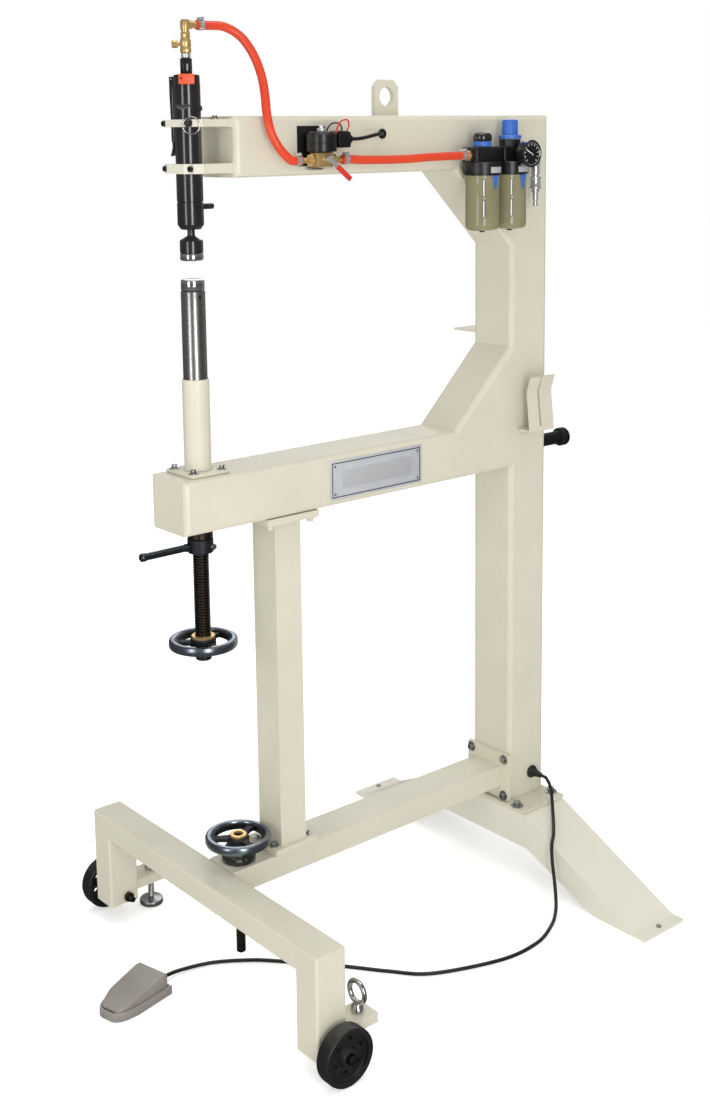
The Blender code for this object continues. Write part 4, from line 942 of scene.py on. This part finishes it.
dress(block("valve_panel", (X - 0.030, SIDE - 0.0022, 1.4660), (X + 0.030, SIDE - 0.0002, 1.5340), 0.0006),
      dull_black)
dress(block("strap_arm", (X - 0.012, Y + 0.0116, 1.4600), (X + 0.012, SIDE - 0.0016, 1.4625), 0.0004), zinc)
hose_clip("clip_valve_left", X - 0.0520, Y, 1.476)
hose_clip("clip_valve_right", X + 0.0520, Y, 1.476)


# %% Loose wires of the coil


def wire(name, points, wide, material):
    """A short stiff wire, soldered at both ends."""
    data = bpy.data.curves.new(name, "CURVE")
    data.dimensions = "3D"
    data.bevel_depth = wide / 2
    data.bevel_resolution = 3
    data.use_fill_caps = True
    spline = data.splines.new("POLY")
    route = smooth_route(points, 0.002)
    spline.points.add(len(route) - 1)
    for target, point in zip(spline.points, route):
        target.co = (*point, 1.0)
    piece = bpy.data.objects.new(name, data)
    bpy.context.scene.collection.objects.link(piece)
    pick(piece)
    bpy.ops.object.convert(target="MESH")
    return dress(bpy.context.object, material)


wire("red_wire", [(X + 0.022, Y - 0.012, 1.520), (X + 0.023, Y - 0.013, 1.527), (X + 0.032, Y - 0.014, 1.541),
                  (X + 0.048, Y - 0.012, 1.543), (X + 0.054, Y - 0.008, 1.532),
                  (X + 0.050, Y - 0.006, 1.523)],
     0.0026, red_dip)
wire("dark_wire", [(X + 0.020, Y + 0.010, 1.520), (X + 0.021, Y + 0.011, 1.527),
                   (X + 0.030, Y + 0.010, 1.537),
                   (X + 0.044, Y + 0.008, 1.538), (X + 0.050, Y + 0.006, 1.530),
                   (X + 0.048, Y + 0.004, 1.523)],
     0.0026, rubber)
print("solenoid valve done")

# %% [markdown]
# ## The air unit
# A lubricator and a filter with its regulator hang on the side of the arm. Their heads are black mouldings.
# Their bowls are smoky plastic, with a slot on each side to see the level.

# %% Heads


def unit_head(name, x, node):
    low, high = 1.4635, 1.4930
    core = block(name, (x - 0.0325, AIR_Y - 0.0190, low), (x + 0.0325, AIR_Y + 0.0130, high), 0.003,
                 segments=3)
    neck = lathe("neck", [(0, 1.4412), (0.0340, 1.4412), (0.0355, 1.4425), (0.0355, 1.4640), (0.0345, 1.4652),
                          (0, 1.4655)], (x, AIR_Y, 0), sides=64)
    port = lathe("port", [(0, -0.0345), (0.0130, -0.0345), (0.0130, -0.0320), (0, -0.0320)],
                 (x, AIR_Y, 1.4775),
                 TURN_X, 32)
    arm = block("arm", (x - 0.015, AIR_Y + 0.0120, 1.4640), (x + 0.015, SIDE - 0.0002, 1.4920), 0.001)
    grips = [block("grip", (0.0350, -0.0014, 1.4430), (0.0362, 0.0014, 1.4580), 0.0004, (x, AIR_Y, 0),
                   (0, 0, math.radians(18 * i))) for i in range(20) if not 13 <= i <= 16]
    made = together(name, core, neck, port, arm, *grips)
    return dress(made, dull_black, "frame", (node,))


def arc_patch(name, radius, thick, from_angle, to_angle, low, high, x):
    """A thin curved plate that hugs a round piece between two angles."""
    angles = [math.radians(from_angle + (to_angle - from_angle) * i / 12) for i in range(13)]
    shape = [((radius + thick) * math.cos(a), (radius + thick) * math.sin(a)) for a in angles]
    shape += [(radius * math.cos(a), radius * math.sin(a)) for a in reversed(angles)]
    return plate(name, shape, high - low, 0, (x, AIR_Y, low))


unit_head("lubricator_top", LUB_X, "lubricator_head")
unit_head("regulator_top", FILTER_X, "filter_head")
for x, word in ((LUB_X, "lubricator"), (FILTER_X, "regulator")):
    dress(arc_patch(f"{word}_label", 0.0356, 0.0004, 252, 300, 1.4450, 1.4560, x), label)
bonnet = lathe("regulator_bonnet", [(0, 1.4931), (0.0205, 1.4931), (0.0205, 1.5050), (0.0195, 1.5060),
                                    (0, 1.5060)],
               (FILTER_X, AIR_Y, 0), sides=20, angle=10)
dress(bonnet, dull_black)

# %% Bowls with their slots, the guard edges round them in painted shade, and drains


def unit_bowl(name, x, node):
    shape = lathe(name, [
        (0, 1.3380), (0.0090, 1.3380), (0.0230, 1.3384), (0.0292, 1.3410), (0.0310, 1.3450), (0.0315, 1.3500),
        (0.0315, 1.4230), (0.0319, 1.4240), (0.0319, 1.4405), (0.0285, 1.4405), (0.0280, 1.3480),
        (0.0230, 1.3415),
        (0, 1.3415)], (x, AIR_Y, 0), sides=64)
    dress(shape, bowl, "frame", (node,))
    for i, (low, high) in enumerate(((1.3620, 1.3960), (1.4010, 1.4340))):
        # a dark strip of guard round each window, wider on its right: painted shade of the recessed slot
        dress(arc_patch(f"{name}_slot_{i}", 0.0314, 0.0007, 226, 237, low, high, x), guard_slot_shade)
        dress(arc_patch(f"{name}_window_{i}", 0.0316, 0.0009, 228.5, 232, low + 0.002, high - 0.002, x),
              white)
    dress(lathe(f"{name}_drain", [(0, 1.3345), (0.0040, 1.3345), (0.0050, 1.3352), (0.0050, 1.3378),
                                  (0, 1.3378)],
                (x, AIR_Y, 0), sides=20), dull_black)
    wedge = plate("wedge", [(-0.0065, 1.4402), (0.0065, 1.4402), (0.0065, 1.4360), (0.0015, 1.4150),
                            (-0.0015, 1.4150),
                            (-0.0065, 1.4360)], 0.0026, 0.0006, (0, -0.0315, 0), (math.pi / 2, 0, 0))
    pick(wedge)
    dress(settle(f"{name}_button", (x, AIR_Y, 0), (0, 0, math.radians(4))), blue)
    dress(lathe(f"{name}_core", [(0, 1.3500), (0.0120, 1.3500), (0.0120, 1.4000), (0.0050, 1.4040),
                                 (0.0050, 1.4400),
                                 (0, 1.4400)], (x, AIR_Y, 0), sides=24), white)


unit_bowl("lubricator_glass", LUB_X, "lubricator_bowl")
unit_bowl("filter_glass", FILTER_X, "filter_bowl")

# %% Sight dome, regulator knob and gauge
ring_blue = lathe("dome_ring", [(0, 1.4933), (0.0165, 1.4933), (0.0170, 1.4940), (0.0170, 1.5020),
                                (0.0160, 1.5030),
                                (0, 1.5030)], (LUB_X, AIR_Y, 0), sides=48)
dress(ring_blue, blue, "frame", ("oil_dome",))
teeth = [block("tooth", (0.0166, -0.0012, 1.4945), (0.0176, 0.0012, 1.5015), 0.0002, (LUB_X, AIR_Y, 0),
               (0, 0, math.radians(30 * i))) for i in range(12)]
dress(together("dome_ring_teeth", *teeth), blue)
dress(lathe("sight_core", [(0, 1.5031), (0.0080, 1.5031), (0.0080, 1.5120), (0.0060, 1.5160), (0, 1.5170)],
            (LUB_X, AIR_Y, 0), sides=32), chrome)
dress(lathe("sight_dome", [(0.0095, 1.5031), (0.0165, 1.5031), (0.0178, 1.5045), (0.0180, 1.5120),
                           (0.0165, 1.5165),
                           (0.0120, 1.5188), (0.0095, 1.5190), (0.0095, 1.5031)], (LUB_X, AIR_Y, 0), sides=48,
            angle=50), satin_black)
knob = lathe("knob_body", [(0, 1.5066), (0.0212, 1.5066), (0.0220, 1.5076), (0.0220, 1.5125),
                           (0.0212, 1.5135),
                           (0.0142, 1.5152), (0.0140, 1.5390), (0.0128, 1.5420), (0.0090, 1.5430),
                           (0, 1.5430)],
             (FILTER_X, AIR_Y, 0), sides=48)
flutes = [block("flute", (0.0132, -0.0012, 1.5155), (0.0153, 0.0012, 1.5405), 0.0003, (FILTER_X, AIR_Y, 0),
                (0, 0, math.radians(18 * i))) for i in range(20)]
dress(together("pressure_knob", knob, *flutes), blue, "regulator", ("regulator_knob",))

gx, gz = FILTER_X + 0.001, 1.479
case = lathe("gauge_case", [(0, 0.0193), (0.0062, 0.0193), (0.0062, 0.0376), (0.0215, 0.0382),
                            (0.0238, 0.0396),
                            (0.0244, 0.0410), (0.0244, 0.0545), (0, 0.0545)], (gx, AIR_Y, gz), TURN_Y, 64)
dress(case, satin_black, "frame", ("pressure_gauge",))
dress(lathe("gauge_bezel", [(0.0206, 0.0546), (0.0240, 0.0540), (0.0253, 0.0546), (0.0255, 0.0568),
                            (0.0243, 0.0580),
                            (0.0222, 0.0580), (0.0206, 0.0566), (0.0206, 0.0546)], (gx, AIR_Y, gz), TURN_Y,
                            64),
      satin_black)
dress(ring("gauge_trim", 0.0206, 0.0006, (gx, AIR_Y - 0.0562, gz), TURN_Y, 64), chrome)
dress(lathe("gauge_dial", [(0, 0.0547), (0.0205, 0.0547), (0.0205, 0.0552), (0, 0.0552)], (gx, AIR_Y, gz),
            TURN_Y, 48),
      dull_black)
marks = []
for i in range(11):
    angle = math.radians(-135 + 27 * i)
    mark = block("mark", (-0.0005, 0.0553, 0.0155), (0.0005, 0.0556, 0.0190), 0, (0, 0, 0))
    mark.data.transform(Matrix.Translation((gx, AIR_Y, gz)) @ Matrix.Rotation(angle, 4, "Y")
                        @ Matrix.Scale(-1, 4, (0, 1, 0)))
    mark.data.flip_normals()
    marks.append(mark)
needle = block("needle", (-0.0008, 0.0557, -0.0050), (0.0008, 0.0561, 0.0150), 0)
needle.data.transform(Matrix.Translation((gx, AIR_Y, gz)) @ Matrix.Rotation(math.radians(-60), 4, "Y")
                      @ Matrix.Scale(-1, 4, (0, 1, 0)))
needle.data.flip_normals()
dress(together("gauge_marks", *marks, needle), white)
dress(bar("needle_cap", 0.0022, 0.0012, (gx, AIR_Y - 0.0558, gz), TURN_Y, 20, 0.0003), brass)

# %% Fittings at both ends of the unit
dress(together("feed_fitting", hexagon("hex", 0.0180, 0.0070, (LUB_X - 0.0347 - 0.0070, AIR_Y, 1.4775),
                                       TURN_X, 0.0005)),
      brass)
hose_clip("clip_feed", LUB_X - 0.0500, AIR_Y, 1.4775)
cx = C + 0.024
inlet = together("coupler_elbow",
                 lathe("arm", [(0, -0.0352), (0.0070, -0.0352), (0.0070, -0.0200), (0.0090, -0.0190),
                               (0.0090, 0.0040),
                               (0.0070, 0.0060), (0, 0.0060)], (cx, AIR_Y, 1.462), TURN_X, 32),
                 hexagon("hex", 0.0150, 0.0080, (cx - 0.0340, AIR_Y, 1.462), TURN_X, 0.0005),
                 lathe("stem", [(0, 1.3780), (0.0046, 1.3780), (0.0052, 1.3790), (0.0052, 1.3830),
                                (0.0040, 1.3838),
                                (0.0040, 1.3880), (0.0055, 1.3890), (0.0055, 1.4030), (0.0080, 1.4040),
                                (0.0080, 1.4070), (0.0070, 1.4072), (0.0070, 1.4370), (0.0086, 1.4390),
                                (0.0086, 1.4690), (0.0070, 1.4705), (0, 1.4705)], (cx, AIR_Y, 0), sides=40))
dress(inlet, chrome, "frame", ("coupler_body",))
sleeve = lathe("coupler_ring", [(0.0073, 1.4105), (0.0106, 1.4105), (0.0113, 1.4115), (0.0113, 1.4150),
                                (0.0100, 1.4175), (0.0100, 1.4290), (0.0113, 1.4305), (0.0113, 1.4325),
                                (0.0106, 1.4335), (0.0073, 1.4335), (0.0073, 1.4105)], (cx, AIR_Y, 0),
                                sides=48)
dress(sleeve, chrome, "sleeve", ("coupler_sleeve",))
print("air unit done")

# %% [markdown]
# ## Rolling and levelling gear
# Two moulded wheels with open discs, an eye screw with a swivel pad beside each, and a jack in the middle.

# %% Wheels
for side, word in ((1, "left"), (-1, "right")):
    centre = (C - 0.710, side * 0.374, 0.05)
    tyre = lathe("tyre", [(0.0400, -0.0130), (0.0425, -0.0140), (0.0470, -0.0140), (0.0492, -0.0125),
                          (0.0500, -0.0095), (0.0500, 0.0095), (0.0492, 0.0125), (0.0470, 0.0140),
                          (0.0425, 0.0140),
                          (0.0400, 0.0130), (0.0400, -0.0130)], centre, TURN_Y, 96)
    disc = lathe("disc", [(0.0068, -0.0150), (0.0140, -0.0150), (0.0152, -0.0138), (0.0165, -0.0070),
                          (0.0180, -0.0052), (0.0385, -0.0052), (0.0401, -0.0075), (0.0401, 0.0075),
                          (0.0385, 0.0052), (0.0180, 0.0052), (0.0165, 0.0070), (0.0152, 0.0138),
                          (0.0140, 0.0150),
                          (0.0068, 0.0150), (0.0068, -0.0150)], centre, TURN_Y, 64)
    for i in range(6):
        a = math.radians(60 * i + 20)
        spot = (centre[0] + 0.0282 * math.cos(a), centre[1] + 0.02, centre[2] + 0.0282 * math.sin(a))
        carve(disc, bar("hole", 0.0062, 0.04, spot, TURN_Y, 24))
    dress(together(f"{word}_wheel", tyre, disc), rubber, f"wheel_{word[0]}", (f"wheel_{word}",))
    out = side * 0.3893
    turn = TURN_Y if side < 0 else (-math.pi / 2, 0, 0)
    cap = lathe("cap", [(0, 0), (0.0100, 0), (0.0100, 0.0012), (0, 0.0012)], (centre[0], out, 0.05), turn, 24)
    top = hexagon("head", 0.0150, 0.0060, (centre[0], out + side * 0.0012, 0.05), turn, 0.0005)
    inner = side * (0.294 - 0.0003)
    back = (-math.pi / 2, 0, 0) if side < 0 else TURN_Y
    lock = hexagon("nut", 0.0170, 0.0090, (centre[0], inner, 0.05), back, 0.0006)
    thread = lathe("thread", [(0, 0), (0.0056, 0), *[p for i in range(8) for p in (
        (0.0056, 0.0095 + 0.0013 * i), (0.0050, 0.0101 + 0.0013 * i))], (0.0052, 0.0202), (0, 0.0204)],
        (centre[0], inner, 0.05), back, 20)
    shank = bar("shank", 0.0060, 0.0950, (centre[0], out, 0.05), back, 20)
    dress(together(f"{word}_axle", cap, top, lock, thread, shank), oily, "frame", (f"axle_{word}",))
print("wheels done")

# %% Levellers
for side, word in ((1, "left"), (-1, "right")):
    x, y = C - 0.640, side * 0.322
    body = f"eye_{word[0]}"
    profile = [(0, 0.0124), (0.0040, 0.0124), (0.0058, 0.0140)]
    profile += [p for i in range(33) for p in ((0.0050, 0.0145 + 0.00175 * i),
                                               (0.0060, 0.0154 + 0.00175 * i))]
    profile += [(0.0058, 0.0750), (0.0058, 0.0880), (0, 0.0880)]
    stem = lathe("stem", profile, (x, y, 0), sides=20)
    eye = ring("eye", 0.0190, 0.0045, (x, y, 0.108), TURN_X, 48)
    shoulder = lathe("shoulder", [(0, 0.0742), (0.0105, 0.0742), (0.0115, 0.0755), (0.0100, 0.0830),
                                  (0.0070, 0.0870),
                                  (0, 0.0870)], (x, y, 0), sides=24)
    dress(together(f"{word}_eye_screw", stem, eye, shoulder), polished, body, (f"leveller_screw_{word}",))
    pad = lathe(f"{word}_pad", [(0, 0.0), (0.0215, 0.0), (0.0228, 0.0012), (0.0230, 0.0030), (0.0230, 0.0085),
                                (0.0222, 0.0100), (0.0120, 0.0112), (0.0090, 0.0121), (0, 0.0121)],
                                (x, y, 0), sides=48)
    dress(pad, zinc, f"foot_{word[0]}", (f"leveller_pad_{word}",))

# %% Jack
JX = C - 0.648
profile = [(0, 0.041), (0.0066, 0.041), (0.0085, 0.0430), (0.0085, 0.0480)]
profile += [p for i in range(70) for p in ((0.0074, 0.0490 + 0.003 * i), (0.0074, 0.0498 + 0.003 * i),
                                           (0.0085, 0.0506 + 0.003 * i), (0.0085, 0.0512 + 0.003 * i))]
profile += [(0.0070, 0.2650), (0, 0.2652)]
dress(lathe("jack_bar", profile, (JX, 0, 0), sides=32), oily, "jack", ("jack_screw",))
dress(lathe("jack_housing", [(0.0092, 0.2223), (0.0300, 0.2223), (0.0310, 0.2233), (0.0310, 0.2300),
                             (0.0270, 0.2330), (0.0265, 0.2440), (0.0245, 0.2475), (0.0092, 0.2475),
                             (0.0092, 0.2223)], (JX, 0, 0), sides=64), satin_black, "frame",
                             ("jack_bearing",))
print("jack done")

# %% [markdown]
# ## Foot pedal
# Two castings: a tray that sits on the floor and a wedge that tips about a pin near the nose.

# %% Pedal
heading = math.pi + math.radians(14)
L = 0.125
spot = (C - 0.793, 0.062, 0.0)
turn = (0, 0, heading)
outer = [(0.0, -0.039), (L - 0.042, -0.036), (L - 0.020, -0.031), (L - 0.010, -0.026), (L - 0.003, -0.020),
         (L, -0.012), (L, 0.012), (L - 0.003, 0.020), (L - 0.010, 0.026), (L - 0.020, 0.031),
         (L - 0.042, 0.036),
         (0.0, 0.039)]
tray = plate("pedal_tray", outer, 0.0158, 0.0012, (0, 0, 0), (0, 0, 0))
inner = [(x * 0.936 + 0.0042, y * 0.888) for x, y in outer]
hollow = plate("hollow", inner, 0.03, 0, (0, 0, 0.004), (0, 0, 0))
carve(tray, hollow)
pick(tray)
tray = settle("pedal_tray", spot, turn)
dress(tray, cast, "frame", ("pedal_base",))
side_view = [(0.0052, 0.0128), (0.0052, 0.0375), (0.0085, 0.0408), (0.0200, 0.0410), (L - 0.045, 0.0305),
             (L - 0.036, 0.0288), (L - 0.0085, 0.0185), (L - 0.0070, 0.0128)]
wedge = plate("pedal_tread", side_view, 0.0670, 0, (0, 0.0335, 0), (math.pi / 2, 0, 0))
keep = [(x * 0.928 + 0.0048, y * 0.870) for x, y in outer]
pick(wedge)
limit = plate("limit", keep, 0.08, 0, (0, 0, -0.01), (0, 0, 0))
pick(wedge)
trimming = wedge.modifiers.new("trimming", "BOOLEAN")
trimming.operation = "INTERSECT"
trimming.object = limit
trimming.solver = "EXACT"
bpy.ops.object.modifier_apply(modifier="trimming")
bpy.data.objects.remove(limit, do_unlink=True)
soften(wedge, 0.0022, 3, 25)
pick(wedge)
wedge = settle("pedal_tread", spot, turn)
dress(wedge, cast, "treadle", ("pedal_treadle",))
print("pedal done")

# %% [markdown]
# ## Last pieces
# The rubber boot where the pedal's cable enters the column, the grommet of the valve's cable, and the peg.

# %% Boot, grommet and peg
boot = lathe("cable_boot", [(0, -0.0030), (0.0098, -0.0030), (0.0098, 0.0003), (0.0130, 0.0006),
                            (0.0135, 0.0016),
                            (0.0130, 0.0040), (0.0092, 0.0062), (0.0080, 0.0080), (0.0086, 0.0095),
                            (0.0074, 0.0110),
                            (0.0080, 0.0130), (0.0068, 0.0145), (0.0072, 0.0165), (0.0060, 0.0185),
                            (0.0062, 0.0210),
                            (0.0050, 0.0280), (0, 0.0280)], (C + 0.065, SIDE, 0.194), TURN_Y, 40)
dress(boot, rubber, "frame", ("cable_gland",))
dress(lathe("lead_grommet", [(0.0034, -0.0010), (0.0063, -0.0010), (0.0063, 0.0002), (0.0090, 0.0004),
                             (0.0088, 0.0022), (0.0050, 0.0030), (0.0034, 0.0030), (0.0034, -0.0010)],
            (C - 0.334, SIDE, 1.519), TURN_Y, 32), rubber)
peg = lathe("storage_peg", [(0, 0.0003), (0.0160, 0.0003), (0.0165, 0.0010), (0.0160, 0.0040),
                            (0.0138, 0.0050),
                            (0.0135, 0.0060), (0.0135, 0.0960), (0.0185, 0.0975), (0.0190, 0.0985),
                            (0.0190, 0.1120),
                            (0.0180, 0.1140), (0.0160, 0.1150), (0, 0.1153)], (C + 0.100, 0, 0.883), TURN_X,
                            48)
dress(peg, dark_cast, "frame", ("rear_peg",))
for piece, material in ((hose_upper, hose_skin), (hose_feed, hose_skin), (valve_lead, rubber),
                        (pedal_lead, rubber)):
    piece.data.materials.append(material)

# %% [markdown]
# ## Floor and light
# A plain pale floor, a bright even room, and four soft lamps: two tall strips, one overhead, one behind.

# %% Floor, world and lamps
ready()
bpy.ops.mesh.primitive_plane_add(size=40.0, location=(0, 0, -0.0005))
floor = bpy.context.object
floor.name = "floor"
paper = bpy.data.materials.new("white_paper")
paper.use_nodes = True
tree = paper.node_tree
shader = tree.nodes["Principled BSDF"]
shader.inputs["Roughness"].default_value = 0.9
shader.inputs["Specular IOR Level"].default_value = 0.1
shader.inputs["Emission Color"].default_value = (1, 1, 1, 1)
ray = tree.nodes.new("ShaderNodeLightPath")
pale = blend_colour(tree, ray.outputs["Is Glossy Ray"], (0.93, 0.93, 0.93, 1), (0.14, 0.14, 0.14, 1))
tree.links.new(pale, shader.inputs["Base Color"])
tree.links.new(sums(tree, "MULTIPLY", ray.outputs["Is Camera Ray"], 0.42), shader.inputs["Emission Strength"])
floor.data.materials.append(paper)

room = bpy.data.worlds.new("room")
bpy.context.scene.world = room
room.use_nodes = True
tree = room.node_tree
ray = tree.nodes.new("ShaderNodeLightPath")
seen = sums(tree, "MULTIPLY", ray.outputs["Is Camera Ray"], 0.36)
mirrored = sums(tree, "MULTIPLY", ray.outputs["Is Glossy Ray"], 0.46)
level = sums(tree, "SUBTRACT", sums(tree, "ADD", seen, 0.64), mirrored)
tree.nodes["Background"].inputs["Color"].default_value = (1.0, 1.0, 1.0, 1)
tree.links.new(level, tree.nodes["Background"].inputs["Strength"])


def lamp(name, spot, target, size, power, colour=(1, 1, 1)):
    data = bpy.data.lights.new(name, "AREA")
    data.shape = "RECTANGLE"
    data.size, data.size_y = size
    data.energy = power
    data.color = colour
    made = bpy.data.objects.new(name, data)
    bpy.context.scene.collection.objects.link(made)
    made.location = spot
    made.rotation_euler = (Vector(target) - Vector(spot)).to_track_quat("-Z", "Y").to_euler()
    made.visible_camera = False
    return made


def strip(name, turn, power):
    """A tall narrow lamp standing on the floor in this direction from the hammer."""
    angle = math.radians(turn)
    spot = (HAMMER + 3.2 * math.cos(angle), 3.2 * math.sin(angle), 1.25)
    return lamp(name, spot, (HAMMER, 0, 1.25), (0.75, 2.4), power)


strip("left_strip", 197, 26.0)
strip("right_strip", 252, 44.0)
lamp("overhead", (0.0, -0.2, 4.2), (0, 0, 0), (2.6, 2.6), 42.0)
lamp("back", (2.2, 2.6, 2.6), (0, 0, 1.0), (2.0, 1.6), 20.0)
bpy.context.scene.view_settings.view_transform = "Standard"
